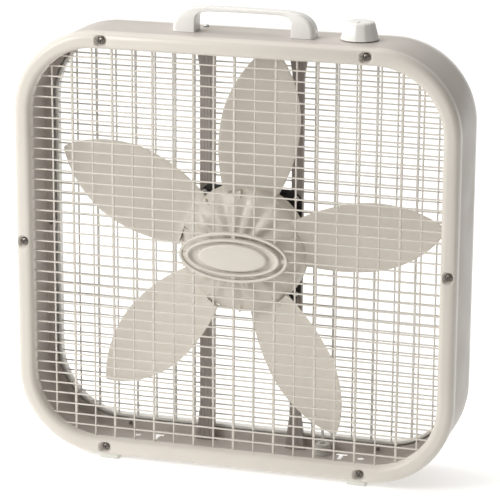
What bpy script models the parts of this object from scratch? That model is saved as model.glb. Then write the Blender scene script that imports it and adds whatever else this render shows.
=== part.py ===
"""Box fan: a steel housing band between two moulded grille shells, with a five-blade rotor.

Units are metres. +Z is up, -Y is the side the air blows to (the front), and the origin lies
under the middle of the body, on the surface that the four foot pads stand on.
"""
import math

import bpy
import bmesh
from mathutils import Matrix, Vector

# ---------------------------------------------------------------- driving dimensions
BODY_WIDTH = 0.533            # outside of the shells, left to right
BODY_HEIGHT = 0.514           # outside of the shells, without pads and handle
BODY_DEPTH = 0.112            # front face to rear face
CORNER_RADIUS = 0.100         # of the body's outline
PAD_DROP = 0.005              # foot pads stand this far below the body
CENTRE_Z = PAD_DROP + BODY_HEIGHT / 2
GAP = 0.0003                  # clearance between pieces that touch

BEZEL_WIDTH = 0.0195          # width of the shells' solid border
REAR_INSET = 0.0025           # the rear shell's outline lies this far inside the front one's
SEAM_Y = 0.0403               # the shells end here, 0.3 mm from the band's flanges
CROWN_DEPTH = 0.0095          # solid thickness of the border over its shallow channel
SHELL_WALL = 0.0026           # of the border's outer lip, at the seam

BAR_Y = 0.0420                # plane between the two layers of grille bars
ROW_COUNT, ROW_PITCH = 37, 0.0125
COLUMN_COUNT, COLUMN_PITCH = 19, 0.0247
ROW_BAR = (0.0018, 0.0016)    # height and depth of a horizontal bar
COLUMN_THIN = (0.0020, 0.0012)
COLUMN_THICK = (0.0030, 0.0012)
BAR_END_INSET = 0.0180        # bars run into the border up to this inset

BADGE_RING = (0.0660, 0.0300)     # half axes of the ring round the badge
BADGE_RING_WALL = 0.0035
BADGE_PLATE = (0.0570, 0.0225)    # half axes of the loose badge plate

BAND_INSET = 0.0015           # steel band sits this far inside the shells' outline
BAND_SHEET = 0.0010
FLANGE_Y = 0.0400             # outer face of the band's inturned flanges
FLANGE_INSET = 0.0138         # flanges reach this far in from the body's outline

SCREW_INSET = 0.0095
SCREW_X = 0.157               # of the upper and lower case screws
SCREW_HEAD_RADIUS = 0.0043
SCREW_SHANK_RADIUS = 0.0019
SCREW_HOLE_RADIUS = 0.0023
POCKET_LENGTH, POCKET_WIDTH = 0.0135, 0.0116   # along and across the border
POCKET_CORNER = 0.0022        # cut off each corner of a pocket
POCKET_FLOOR_Y = 0.0493
PAD_X, PAD_WIDTH, PAD_END_Y = 0.153, 0.024, 0.0520

HANDLE_SPAN, HANDLE_DEPTH = 0.170, 0.024
HANDLE_HEIGHT = 0.0297
HANDLE_STRAP, HANDLE_STRAP_DEPTH = 0.0050, 0.0152   # of the bar over its middle
HANDLE_FOOT = 0.0275          # length of each foot along the body
HANDLE_EDGE = 0.0022          # cut off its outer long edges
HANDLE_SCREW_X = 0.071

KNOB_X, KNOB_Y = 0.1345, 0.006
KNOB_RADIUS, KNOB_TOP_RADIUS, KNOB_HEIGHT = 0.0225, 0.0170, 0.0215

ROTOR_RADIUS = 0.247
ROTOR_Y = -0.006              # mid-plane of the blades
HUB_RADIUS = 0.076
BLADE_COUNT = 5
BLADE_FIRST_ANGLE = 10.0      # degrees above +X
BLADE_HALF_CHORD = 0.0445
BLADE_WIDEST_RADIUS = 0.155
BLADE_THICKNESS = 0.0022
SHAFT_RADIUS = 0.004

STRUT_X, STRUT_WIDTH = 0.0565, 0.0139
STRUT_FOOT = (0.0250, 0.042)  # width at the lower end, and the length over which it widens
STRUT_HEAD = (0.0300, 0.050)  # the same at the upper end
STRUT_FRONT_Y, STRUT_REAR_Y = 0.0262, 0.0330
STRUT_SHEET = 0.0010
PLATE_HALF_WIDTH, PLATE_HALF_HEIGHT = 0.063, 0.068
PLATE_Y = (0.0244, 0.0259)
PLATE_SCREW_Z = 0.058

MOTOR_RADIUS = 0.046
STACK_Y = (-0.004, 0.010)     # the stator's laminations
BOLT_CIRCLE = 0.0400

SLOT_X, OVAL_X, SLOT_Y = 0.116, 0.141, 0.019
GLAND_X, GLAND_Y = 0.093, 0.022
LEAD_RADIUS = 0.0017

HALF_W, HALF_H, HALF_D = BODY_WIDTH / 2, BODY_HEIGHT / 2, BODY_DEPTH / 2
BAND_TOP_Z = CENTRE_Z + HALF_H - BAND_INSET
BAND_FLOOR_Z = CENTRE_Z - HALF_H + BAND_INSET
FRONT, REAR = -1, 1


# ---------------------------------------------------------------- materials and objects
def clear_scene():
    for obj in list(bpy.data.objects):
        bpy.data.objects.remove(obj, do_unlink=True)


def principled(name, colour, roughness, metallic=0.0):
    mat = bpy.data.materials.new(name)
    mat.use_nodes = True
    shader = mat.node_tree.nodes["Principled BSDF"]
    shader.inputs["Base Color"].default_value = (*colour, 1.0)
    shader.inputs["Roughness"].default_value = roughness
    shader.inputs["Metallic"].default_value = metallic
    return mat


def add_object(name, mesh_builder, mat=None, at=(0, 0, 0), parent=None, smooth=35.0):
    """Make one object from a bmesh; `at` is its origin in world space."""
    bmesh.ops.recalc_face_normals(mesh_builder, faces=mesh_builder.faces)
    mesh = bpy.data.meshes.new(name)
    mesh_builder.to_mesh(mesh)
    mesh_builder.free()
    mesh.transform(Matrix.Translation(-Vector(at)))
    mesh.shade_smooth()
    mesh.set_sharp_from_angle(angle=math.radians(smooth))
    obj = bpy.data.objects.new(name, mesh)
    bpy.context.scene.collection.objects.link(obj)
    if mat:
        mesh.materials.append(mat)
    obj.location = at
    if parent:
        obj.parent = parent
        obj.location = Vector(at) - parent.location
    return obj


def add_empty(name, at):
    empty = bpy.data.objects.new(name, None)
    bpy.context.scene.collection.objects.link(empty)
    empty.location = at
    return empty


def combine(target, operation, mesh_builder):
    """Union with, or cut by, the closed shapes in mesh_builder, which stay clear of each other."""
    helper = add_object(f"{target.name}_{operation.lower()}", mesh_builder)
    helper.hide_render = True
    helper.display_type = "WIRE"
    modifier = target.modifiers.new(operation.title(), "BOOLEAN")
    modifier.operation = operation
    modifier.solver = "EXACT"
    modifier.object = helper


# ---------------------------------------------------------------- shape helpers
def fill_loops(bm, loops, closed_section=True, cap=False):
    """Skin a list of equally long vertex loops; close the tube or cap its two ends."""
    count = len(loops)
    for i in range(count if closed_section else count - 1):
        a, b = loops[i], loops[(i + 1) % count]
        for j in range(len(a)):
            k = (j + 1) % len(a)
            bm.faces.new((a[j], a[k], b[k], b[j]))
    if cap:
        bm.faces.new(loops[0])
        bm.faces.new(loops[-1])


def box(bm, low, high):
    corners = [(low[0], low[2]), (high[0], low[2]), (high[0], high[2]), (low[0], high[2])]
    prism(bm, corners, low[1], high[1])


def prism(bm, outline, y0, y1):
    """Extrude an (x, z) outline along Y."""
    loops = [[bm.verts.new((x, y, z)) for x, z in outline] for y in (y0, y1)]
    fill_loops(bm, loops, closed_section=False, cap=True)


def prism_z(bm, outline, z0, z1):
    """Extrude an (x, y) outline along Z."""
    loops = [[bm.verts.new((x, y, z)) for x, y in outline] for z in (z0, z1)]
    fill_loops(bm, loops, closed_section=False, cap=True)


def turned(bm, profile, centre, axis="Y", segments=24, phase=0.0):
    """Turn a profile of (radius, distance along axis) points; radius 0 closes it on the axis."""
    rings = []
    for radius, along in profile:
        steps = 1 if radius == 0 else segments
        ring = []
        for i in range(steps):
            angle = 2 * math.pi * i / segments + phase
            across = (radius * math.cos(angle), radius * math.sin(angle))
            offset = (across[0], along, across[1]) if axis == "Y" else (across[0], across[1], along)
            ring.append(bm.verts.new(Vector(centre) + Vector(offset)))
        rings.append(ring)
    open_profile = profile[0][0] == 0
    for i in range(len(rings) - 1 if open_profile else len(rings)):
        a, b = rings[i], rings[(i + 1) % len(rings)]
        for j in range(segments):
            k = (j + 1) % segments
            corners = [a[j % len(a)], a[k % len(a)], b[k % len(b)], b[j % len(b)]]
            unique = [v for n, v in enumerate(corners) if v not in corners[:n]]
            bm.faces.new(unique)


def rod(bm, radius, start, end, centre, axis="Y", segments=16, phase=0.0):
    turned(bm, [(0, start), (radius, start), (radius, end), (0, end)], centre, axis, segments, phase)


def rounded_outline(inset, corner_steps=5):
    """(x, z) points of the body's outline, moved inwards by inset."""
    radius = CORNER_RADIUS - inset
    centre_x, centre_z = HALF_W - CORNER_RADIUS, HALF_H - CORNER_RADIUS
    points = []
    for quarter, (side_x, side_z) in enumerate(((1, 1), (-1, 1), (-1, -1), (1, -1))):
        for step in range(corner_steps + 1):
            angle = math.radians(90 * (quarter + step / corner_steps))
            points.append((side_x * centre_x + radius * math.cos(angle),
                           CENTRE_Z + side_z * centre_z + radius * math.sin(angle)))
    return points


def sweep_section(bm, section):
    """Run a closed (inset, y) section round the body's outline."""
    loops = [[bm.verts.new((x, y, z)) for x, z in rounded_outline(inset)] for inset, y in section]
    fill_loops(bm, loops)


def half_span(offset, half_along, half_across):
    """Half length of a bar at `offset` from the centre, inside the outline at BAR_END_INSET."""
    radius = CORNER_RADIUS - BAR_END_INSET
    beyond = abs(offset) - (half_across - CORNER_RADIUS)
    if beyond <= 0:
        return half_along - BAR_END_INSET
    return half_along - CORNER_RADIUS + math.sqrt(max(radius ** 2 - beyond ** 2, 0))


def ellipse(half_x, half_z, segments):
    angles = [math.tau * i / segments for i in range(segments)]
    return [(half_x * math.cos(a), CENTRE_Z + half_z * math.sin(a)) for a in angles]


def screw_places():
    """(x, z) of the six case screws of a shell."""
    top, side = HALF_H - SCREW_INSET, HALF_W - SCREW_INSET
    return [(-SCREW_X, CENTRE_Z + top), (SCREW_X, CENTRE_Z + top), (-side, CENTRE_Z), (side, CENTRE_Z),
            (-SCREW_X, CENTRE_Z - top), (SCREW_X, CENTRE_Z - top)]


def screw(bm, centre, direction, head_at, tip_at, axis="Y", head=SCREW_HEAD_RADIUS):
    """A pan-head screw; the head's underside is at head_at and the shank runs to tip_at."""
    height = 0.6 * SCREW_HEAD_RADIUS * direction
    profile = [(0, head_at + height), (head, head_at + height * 0.7), (head, head_at),
               (SCREW_SHANK_RADIUS, head_at), (SCREW_SHANK_RADIUS, tip_at), (0, tip_at)]
    turned(bm, profile, centre, axis, segments=8)


# ---------------------------------------------------------------- grille shells
def grille_bars(bm, side, badge):
    """Two layers of bars: rows outside, columns inside. Only the border and the ring join them."""
    row_low, row_high = side * (BAR_Y + GAP / 2), side * (BAR_Y + GAP / 2 + ROW_BAR[1])
    for i in range(ROW_COUNT):
        offset = (i - (ROW_COUNT - 1) / 2) * ROW_PITCH
        reach = half_span(offset, HALF_W, HALF_H)
        bar_z = CENTRE_Z + offset
        for start, end in split_by_badge(offset, reach, BADGE_RING[1], BADGE_RING[0], badge):
            box(bm, (start, row_low, bar_z - ROW_BAR[0] / 2), (end, row_high, bar_z + ROW_BAR[0] / 2))
    for i in range(COLUMN_COUNT):
        index = i - (COLUMN_COUNT - 1) // 2
        width, depth = COLUMN_THICK if index % 2 == 0 else COLUMN_THIN
        offset = index * COLUMN_PITCH
        reach = half_span(offset, HALF_H, HALF_W)
        y0, y1 = side * (BAR_Y - GAP / 2), side * (BAR_Y - GAP / 2 - depth)
        for start, end in split_by_badge(offset, reach, BADGE_RING[0], BADGE_RING[1], badge):
            box(bm, (offset - width / 2, y0, CENTRE_Z + start),
                (offset + width / 2, y1, CENTRE_Z + end))


def split_by_badge(offset, reach, ring_across, ring_along, badge):
    """The stretches of a bar on either side of the badge ring, or the whole bar."""
    middle_across = ring_across - BADGE_RING_WALL / 2
    if not badge or abs(offset) >= middle_across:
        return [(-reach, reach)]
    stop = (ring_along - BADGE_RING_WALL / 2) * math.sqrt(1 - (offset / middle_across) ** 2)
    return [(-reach, -stop), (stop, reach)]


def pocket_outline(x, z):
    """A screw pocket's rectangle with cut corners, longer along the border it lies in."""
    half_x, half_z = POCKET_LENGTH / 2, POCKET_WIDTH / 2
    if abs(x) > abs(z - CENTRE_Z):
        half_x, half_z = half_z, half_x
    right_side = [(half_x - POCKET_CORNER, -half_z), (half_x, -half_z + POCKET_CORNER),
                  (half_x, half_z - POCKET_CORNER), (half_x - POCKET_CORNER, half_z)]
    left_side = [(-dx, dz) for dx, dz in reversed(right_side)]
    return [(x + dx, z + dz) for dx, dz in right_side + left_side]


def shell_section(side, outline_inset):
    """(inset, y) section of a shell's border: a rounded crown over a shallow channel."""
    channel_y = HALF_D - CROWN_DEPTH
    crown = [(0.0, SEAM_Y), (0.0, 0.0450), (0.0012, 0.0492), (0.0042, 0.0532), (0.0085, HALF_D),
             (0.0125, HALF_D - 0.0004), (0.0165, 0.0522), (0.0188, 0.0478),
             (BEZEL_WIDTH, SEAM_Y + 0.0002)]
    wall = outline_inset + SHELL_WALL
    channel = [(0.0162, SEAM_Y + 0.0002), (0.0160, channel_y),
               (wall + 0.0004, channel_y), (wall, SEAM_Y)]
    return [(max(inset, outline_inset), side * y) for inset, y in crown] + \
           [(inset, side * y) for inset, y in channel]


def grille_shell(name, side, mat, badge, outline_inset=0.0):
    shell = bmesh.new()
    sweep_section(shell, shell_section(side, outline_inset))
    shell = add_object(name, shell, mat)
    bars = bmesh.new()
    grille_bars(bars, side, badge)
    combine(shell, "UNION", bars)
    extras = bmesh.new()
    boss_top = HALF_D - CROWN_DEPTH + 0.001
    for x, z in screw_places():
        rod(extras, 0.0046, side * SEAM_Y, side * boss_top, (x, 0, z), segments=10)
    pad_top = PAD_DROP + outline_inset + 0.0022
    for x in (-PAD_X, PAD_X):
        box(extras, (x - PAD_WIDTH / 2, side * SEAM_Y, 0),
            (x + PAD_WIDTH / 2, side * PAD_END_Y, pad_top))
    if badge:
        badge_ring(extras, side)
    combine(shell, "UNION", extras)
    cuts = bmesh.new()
    for x, z in screw_places():
        prism(cuts, pocket_outline(x, z), side * POCKET_FLOOR_Y, side * (HALF_D + 0.002))
    combine(shell, "DIFFERENCE", cuts)
    holes = bmesh.new()
    hole_start, hole_end = side * (SEAM_Y - 0.001), side * (POCKET_FLOOR_Y + 0.002)
    for x, z in screw_places():
        rod(holes, SCREW_HOLE_RADIUS, hole_start, hole_end, (x, 0, z), segments=10)
    combine(shell, "DIFFERENCE", holes)
    return shell


def badge_ring(bm, side):
    segments = 32
    outer = ellipse(*BADGE_RING, segments)
    inner = ellipse(BADGE_RING[0] - BADGE_RING_WALL, BADGE_RING[1] - BADGE_RING_WALL, segments)
    back, face = side * 0.0407, side * 0.0462
    loops = [[bm.verts.new((x, y, z)) for x, z in points]
             for points, y in ((outer, back), (outer, face), (inner, face), (inner, back))]
    fill_loops(bm, loops)


def badge_plate(mat):
    """Dished oval plate with a raised centre, held in the ring by four small bridges."""
    segments = 32
    rings = [(BADGE_PLATE, -0.0410), (BADGE_PLATE, -0.0465), ((0.0535, 0.0200), -0.0470),
             ((0.0500, 0.0195), -0.0448), ((0.0425, 0.0182), -0.0448), ((0.0395, 0.0160), -0.0468),
             ((0.0250, 0.0100), -0.0478)]
    bm = bmesh.new()
    loops = [[bm.verts.new((x, y, z)) for x, z in ellipse(*half, segments)] for half, y in rings]
    fill_loops(bm, loops, closed_section=False, cap=True)
    plate = add_object("badge_plate", bm, mat)
    bridges = bmesh.new()
    reach_x = BADGE_RING[0] - BADGE_RING_WALL - 3 * GAP
    reach_z = BADGE_RING[1] - BADGE_RING_WALL - 3 * GAP
    for sign in (-1, 1):
        box(bridges, (min(sign * 0.055, sign * reach_x), -0.0440, CENTRE_Z - 0.0022),
            (max(sign * 0.055, sign * reach_x), -0.0415, CENTRE_Z + 0.0022))
        low, high = sorted((sign * 0.0210, sign * reach_z))
        box(bridges, (-0.0022, -0.0440, CENTRE_Z + low), (0.0022, -0.0415, CENTRE_Z + high))
    combine(plate, "UNION", bridges)
    return plate


# ---------------------------------------------------------------- steel housing band
def housing_band(mat):
    bm = bmesh.new()
    inner_wall = BAND_INSET + BAND_SHEET
    flange_back = FLANGE_Y - BAND_SHEET
    section = [(BAND_INSET, FLANGE_Y), (FLANGE_INSET, FLANGE_Y), (FLANGE_INSET, flange_back),
               (inner_wall, flange_back), (inner_wall, -flange_back), (FLANGE_INSET, -flange_back),
               (FLANGE_INSET, -FLANGE_Y), (BAND_INSET, -FLANGE_Y)]
    sweep_section(bm, section)
    band = add_object("housing_band", bm, mat)
    cuts = bmesh.new()
    for side in (FRONT, REAR):
        for x, z in screw_places():
            rod(cuts, SCREW_HOLE_RADIUS, side * 0.038, side * 0.041, (x, 0, z), segments=10)
    below, above = BAND_FLOOR_Z - 0.001, BAND_FLOOR_Z + 0.002
    for sign in (-1, 1):
        centre_x = sign * SLOT_X
        tee = [(-0.0025, -0.0100), (0.0025, -0.0100), (0.0025, 0.0040), (0.0070, 0.0040),
               (0.0070, 0.0100), (-0.0070, 0.0100), (-0.0070, 0.0040), (-0.0025, 0.0040)]
        prism_z(cuts, [(centre_x + x, SLOT_Y + y) for x, y in tee], below, above)
        angles = [math.tau * i / 14 for i in range(14)]
        oval = [(sign * OVAL_X + 0.0045 * math.cos(a), SLOT_Y + 0.0042 * math.sin(a)) for a in angles]
        prism_z(cuts, oval, below, above)
        strut_mid_y = (STRUT_FRONT_Y + STRUT_REAR_Y) / 2
        for z in (BAND_FLOOR_Z, BAND_TOP_Z - BAND_SHEET):
            place = (sign * STRUT_X, strut_mid_y, 0)
            rod(cuts, SCREW_HOLE_RADIUS, z - 0.001, z + 0.002, place, "Z", 10)
        place = (sign * HANDLE_SCREW_X, 0, 0)
        rod(cuts, SCREW_HOLE_RADIUS, BAND_TOP_Z - 0.002, BAND_TOP_Z + 0.001, place, "Z", 10)
    rod(cuts, 0.0050, BAND_TOP_Z - 0.002, BAND_TOP_Z + 0.001, (KNOB_X, KNOB_Y, 0), "Z", 16)
    rod(cuts, 0.0083, below, above, (GLAND_X, GLAND_Y, 0), "Z", 16)
    combine(band, "DIFFERENCE", cuts)
    return band


# ---------------------------------------------------------------- handle and its screws
def handle(mat):
    """An arch whose sections run foot to foot: broad at the feet, a slim strap over the top."""
    base = BAND_TOP_Z + GAP
    outer_x, inner_x, top = HANDLE_SPAN / 2, HANDLE_SPAN / 2 - HANDLE_FOOT, HANDLE_HEIGHT
    # outer x and height, inner x and height, half depth
    right = [(outer_x, 0.0, inner_x, 0.0, HANDLE_DEPTH / 2),
             (outer_x - 0.0004, 0.0085, inner_x, 0.0085, 0.0117),
             (outer_x - 0.0035, 0.0160, inner_x - 0.0002, 0.0155, 0.0110),
             (outer_x - 0.0085, 0.0215, inner_x - 0.0014, 0.0195, 0.0102),
             (outer_x - 0.0160, 0.0258, inner_x - 0.0050, 0.0224, 0.0092),
             (outer_x - 0.0250, 0.0280, inner_x - 0.0110, 0.0238, 0.0083),
             (outer_x - 0.0370, 0.0291, inner_x - 0.0180, 0.0244, 0.0078),
             (0.0200, top, 0.0200, top - HANDLE_STRAP, HANDLE_STRAP_DEPTH / 2)]
    left = [(-xo, zo, -xi, zi, half) for xo, zo, xi, zi, half in reversed(right)]
    bm = bmesh.new()
    loops = []
    for xo, zo, xi, zi, half in right + left:
        share = HANDLE_EDGE / math.hypot(xo - xi, zo - zi)
        x_in, z_in = xo + (xi - xo) * share, zo + (zi - zo) * share
        corners = [(xi, -half, zi), (x_in, -half, z_in), (xo, HANDLE_EDGE - half, zo),
                   (xo, half - HANDLE_EDGE, zo), (x_in, half, z_in), (xi, half, zi)]
        loops.append([bm.verts.new((x, y, base + z)) for x, y, z in corners])
    fill_loops(bm, loops, closed_section=False, cap=True)
    grip = add_object("handle", bm, mat)
    cuts = bmesh.new()
    for sign in (-1, 1):
        place = (sign * HANDLE_SCREW_X, 0, 0)
        rod(cuts, SCREW_SHANK_RADIUS + GAP, base - 0.001, base + 0.013, place, "Z", 10)
    combine(grip, "DIFFERENCE", cuts)
    return grip


# ---------------------------------------------------------------- speed switch and knob
def switch_parts(mats, knob_pivot):
    place = (KNOB_X, KNOB_Y, 0)
    under_sheet = BAND_TOP_Z - BAND_SHEET - GAP
    body_top, body_bottom = under_sheet, under_sheet - 0.018
    bm = bmesh.new()
    box(bm, (KNOB_X - 0.015, KNOB_Y - 0.015, body_bottom), (KNOB_X + 0.015, KNOB_Y + 0.015, body_top))
    body = add_object("switch_body", bm, mats["black_plastic"])
    bushing = bmesh.new()
    rod(bushing, 0.0046, body_top - 0.002, BAND_TOP_Z + 0.0038, place, "Z", 20)
    combine(body, "UNION", bushing)
    bore = bmesh.new()
    rod(bore, 0.0033, body_top - 0.012, BAND_TOP_Z + 0.006, place, "Z", 20)
    combine(body, "DIFFERENCE", bore)

    nut = bmesh.new()
    nut_low, nut_high = BAND_TOP_Z + GAP, BAND_TOP_Z + 0.0028
    ring = [(0.0050, nut_low), (0.0078, nut_low), (0.0078, nut_high), (0.0050, nut_high)]
    turned(nut, ring, place, "Z", segments=6)
    nut = add_object("switch_nut", nut, mats["zinc"])
    widen = bmesh.new()
    rod(widen, 0.0050, BAND_TOP_Z - 0.001, BAND_TOP_Z + 0.004, place, "Z", 20)
    combine(nut, "DIFFERENCE", widen)

    shaft = bmesh.new()
    rod(shaft, 0.0030, body_top - 0.0115, BAND_TOP_Z + 0.0150, place, "Z", 16)
    pivot_at = knob_pivot.location
    add_object("switch_shaft", shaft, mats["zinc"], at=pivot_at, parent=knob_pivot)

    base, top = BAND_TOP_Z + 0.0008, BAND_TOP_Z + KNOB_HEIGHT
    profile = [(0, BAND_TOP_Z + 0.0153), (0.0033, BAND_TOP_Z + 0.0153), (0.0033, BAND_TOP_Z + 0.0056),
               (0.0100, BAND_TOP_Z + 0.0048), (0.0100, base), (KNOB_RADIUS, base),
               (KNOB_RADIUS, base + 0.0012),
               (KNOB_TOP_RADIUS + 0.0006, top - 0.0030), (KNOB_TOP_RADIUS - 0.0012, top - 0.0008),
               (KNOB_TOP_RADIUS - 0.0040, top), (0, top)]
    knob = bmesh.new()
    turned(knob, profile, place, "Z", segments=24)
    knob = add_object("speed_knob", knob, mats["white_plastic"], at=pivot_at, parent=knob_pivot)
    pointer = bmesh.new()
    box(pointer, (KNOB_X - 0.0012, KNOB_Y - KNOB_TOP_RADIUS + 0.0030, top - 0.0020),
        (KNOB_X + 0.0012, KNOB_Y - 0.0030, top + 0.0006))
    combine(knob, "UNION", pointer)


# ---------------------------------------------------------------- rotor
def half_chord(radius):
    """Half width of a blade, which is a petal: widest a third out, round at its tip."""
    if radius < BLADE_WIDEST_RADIUS:
        inward = (BLADE_WIDEST_RADIUS - radius) / (BLADE_WIDEST_RADIUS - HUB_RADIUS)
        return BLADE_HALF_CHORD * (1 - 0.33 * inward ** 2)
    outward = (radius - BLADE_WIDEST_RADIUS) / (ROTOR_RADIUS - BLADE_WIDEST_RADIUS)
    return BLADE_HALF_CHORD * max(1 - outward ** 2, 0) ** 0.85


def blade(bm, axis_angle):
    """One twisted, cambered petal; its upper-left edge leads and lies nearer the front."""
    stations, across = 10, 4
    root_radius, tip_radius = HUB_RADIUS - 0.0020, ROTOR_RADIUS
    faces = []
    for layer in (-0.5, 0.5):
        grid = []
        for i in range(stations):
            share = math.sin(math.pi / 2 * i / (stations - 1))
            radius = root_radius + (tip_radius - 0.0004 - root_radius) * share
            chord = half_chord(radius)
            spread = math.asin(min(chord / radius, 0.95))
            slope = 0.42 - 0.24 * (radius - root_radius) / (tip_radius - root_radius)
            row = []
            for j in range(across + 1):
                place = -1 + 2 * j / across
                angle = axis_angle + place * spread
                camber = 0.0040 * (1 - place ** 2) * chord / BLADE_HALF_CHORD
                y = ROTOR_Y - place * chord * slope + camber + layer * BLADE_THICKNESS
                x, z = radius * math.cos(angle), CENTRE_Z + radius * math.sin(angle)
                row.append(bm.verts.new((x, y, z)))
            grid.append(row)
        faces.append(grid)
    front, rear = faces
    for grid in (front, rear):
        for i in range(stations - 1):
            for j in range(across):
                bm.faces.new((grid[i][j], grid[i + 1][j], grid[i + 1][j + 1], grid[i][j + 1]))
    rims = [grid[0] + [row[-1] for row in grid[1:]] + grid[-1][-2::-1]
            + [row[0] for row in grid[-2:0:-1]] for grid in (front, rear)]
    fill_loops(bm, rims, closed_section=False)


def rotor_parts(mats, pivot):
    """The moulding of hub and blades, the shaft, its clip and the motor's squirrel cage."""
    centre = (0, 0, CENTRE_Z)
    # dome from the shaft out to the rim, back along the skirt, and forward again inside
    outside = [(0.0043, -0.0330), (0.0150, -0.0328), (0.0330, -0.0305), (0.0520, -0.0255),
               (0.0670, -0.0180), (0.0740, -0.0110), (HUB_RADIUS, -0.0040), (HUB_RADIUS, 0.0100)]
    inside = [(HUB_RADIUS - 0.0035, 0.0100), (HUB_RADIUS - 0.0035, -0.0040), (0.0620, -0.0155),
              (0.0400, -0.0250), (0.0110, -0.0295), (0.0100, -0.0215), (0.0043, -0.0215)]
    bm = bmesh.new()
    turned(bm, outside + inside, centre, segments=36)
    fan = add_object("fan_blade", bm, mats["blade"], at=pivot.location, parent=pivot)
    blades = bmesh.new()
    for k in range(BLADE_COUNT):
        blade(blades, math.radians(BLADE_FIRST_ANGLE + 360 / BLADE_COUNT * k))
    combine(fan, "UNION", blades)

    shaft = bmesh.new()
    rod(shaft, SHAFT_RADIUS, -0.0360, 0.0215, centre, segments=16)
    add_object("motor_shaft", shaft, mats["steel"], at=pivot.location, parent=pivot)
    clip = bmesh.new()
    ring = [(0.0043, -0.0345), (0.0043, -0.0335), (0.0085, -0.0335), (0.0085, -0.0345)]
    turned(clip, ring, centre, segments=14)
    add_object("hub_clip", clip, mats["steel"], at=pivot.location, parent=pivot)
    cage = bmesh.new()
    front_y, rear_y = STACK_Y
    turned(cage, [(0.0043, front_y), (0.0218, front_y), (0.0218, rear_y), (0.0043, rear_y)], centre)
    add_object("motor_rotor", cage, mats["steel"], at=pivot.location, parent=pivot)


# ---------------------------------------------------------------- motor
def bolt_places():
    reach = BOLT_CIRCLE / math.sqrt(2)
    return [(x * reach, CENTRE_Z + z * reach) for x, z in ((-1, -1), (1, -1), (1, 1), (-1, 1))]


def end_bell(name, side, rim_y, face_y, mat):
    """A pressed cup with a flat face; its collar holds the bearing."""
    wall = 0.0018
    thick = side * wall
    profile = [(MOTOR_RADIUS, rim_y), (MOTOR_RADIUS, face_y - side * 0.004),
               (MOTOR_RADIUS - 0.003, face_y),
               (0.0105, face_y), (0.0085, face_y), (0.0085, face_y - side * 0.0065),
               (0.0105, face_y - side * 0.0065),
               (0.0105, face_y - thick), (MOTOR_RADIUS - 0.004, face_y - thick),
               (MOTOR_RADIUS - wall, face_y - side * 0.005), (MOTOR_RADIUS - wall, rim_y)]
    bm = bmesh.new()
    turned(bm, profile, (0, 0, CENTRE_Z), segments=20)
    bell = add_object(name, bm, mat)
    holes = bmesh.new()
    for x, z in bolt_places():
        rod(holes, 0.0023, face_y - side * 0.004, face_y + side * 0.001, (x, 0, z), segments=8)
    combine(bell, "DIFFERENCE", holes)


def motor_parts(mats):
    centre = (0, 0, CENTRE_Z)
    end_bell("motor_front_bell", FRONT, STACK_Y[0] - GAP, -0.0160, mats["black_metal"])
    end_bell("motor_rear_bell", REAR, STACK_Y[1] + GAP, 0.0238, mats["black_metal"])

    bm = bmesh.new()
    poles = 8
    outline_in = []
    for k in range(poles):
        for radius, share in ((0.0226, 0.15), (0.0226, 0.38), (0.0226, 0.62), (0.0226, 0.85),
                              (0.0330, 0.88), (0.0330, 1.12)):
            angle = math.tau * (k + share) / poles
            outline_in.append((radius * math.cos(angle), CENTRE_Z + radius * math.sin(angle)))
    outline_out = []
    for k in range(poles):
        for share in (0.15, 0.38, 0.62, 0.85, 0.94, 1.06):
            angle = math.tau * (k + share) / poles
            x, z = MOTOR_RADIUS * math.cos(angle), CENTRE_Z + MOTOR_RADIUS * math.sin(angle)
            outline_out.append((x, z))
    loops = [[bm.verts.new((x, y, z)) for x, z in points]
             for points, y in ((outline_in, STACK_Y[0]), (outline_out, STACK_Y[0]),
                               (outline_out, STACK_Y[1]), (outline_in, STACK_Y[1]))]
    fill_loops(bm, loops)
    stator = add_object("stator_stack", bm, mats["lamination"])
    holes = bmesh.new()
    for x, z in bolt_places():
        rod(holes, 0.0023, STACK_Y[0] - 0.001, STACK_Y[1] + 0.001, (x, 0, z), segments=8)
    combine(stator, "DIFFERENCE", holes)

    for name, low, high in (("winding_front", -0.0100, STACK_Y[0] - GAP),
                            ("winding_rear", STACK_Y[1] + GAP, 0.0165)):
        bm = bmesh.new()
        turned(bm, [(0.0250, low), (0.0235, (low + high) / 2), (0.0250, high), (0.0345, high),
                    (0.0358, (low + high) / 2), (0.0345, low)], centre, segments=20)
        add_object(name, bm, mats["copper"])
    for name, low, high in (("bearing_front", -0.0160, -0.0100), ("bearing_rear", 0.0175, 0.0235)):
        bm = bmesh.new()
        turned(bm, [(0.0043, low), (0.0043, high), (0.0082, high), (0.0082, low)], centre, segments=16)
        add_object(name, bm, mats["bronze"])
    for number, (x, z) in enumerate(bolt_places(), 1):
        bm = bmesh.new()
        screw(bm, (x, 0, z), FRONT, -0.0163, 0.0300, head=0.0036)
        add_object(f"motor_bolt_{number}", bm, mats["zinc"])
        nut = bmesh.new()
        ring = [(0.0022, 0.0262), (0.0040, 0.0262), (0.0040, 0.0290), (0.0022, 0.0290)]
        turned(nut, ring, (x, 0, z), segments=6)
        add_object(f"motor_nut_{number}", nut, mats["zinc"])


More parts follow.
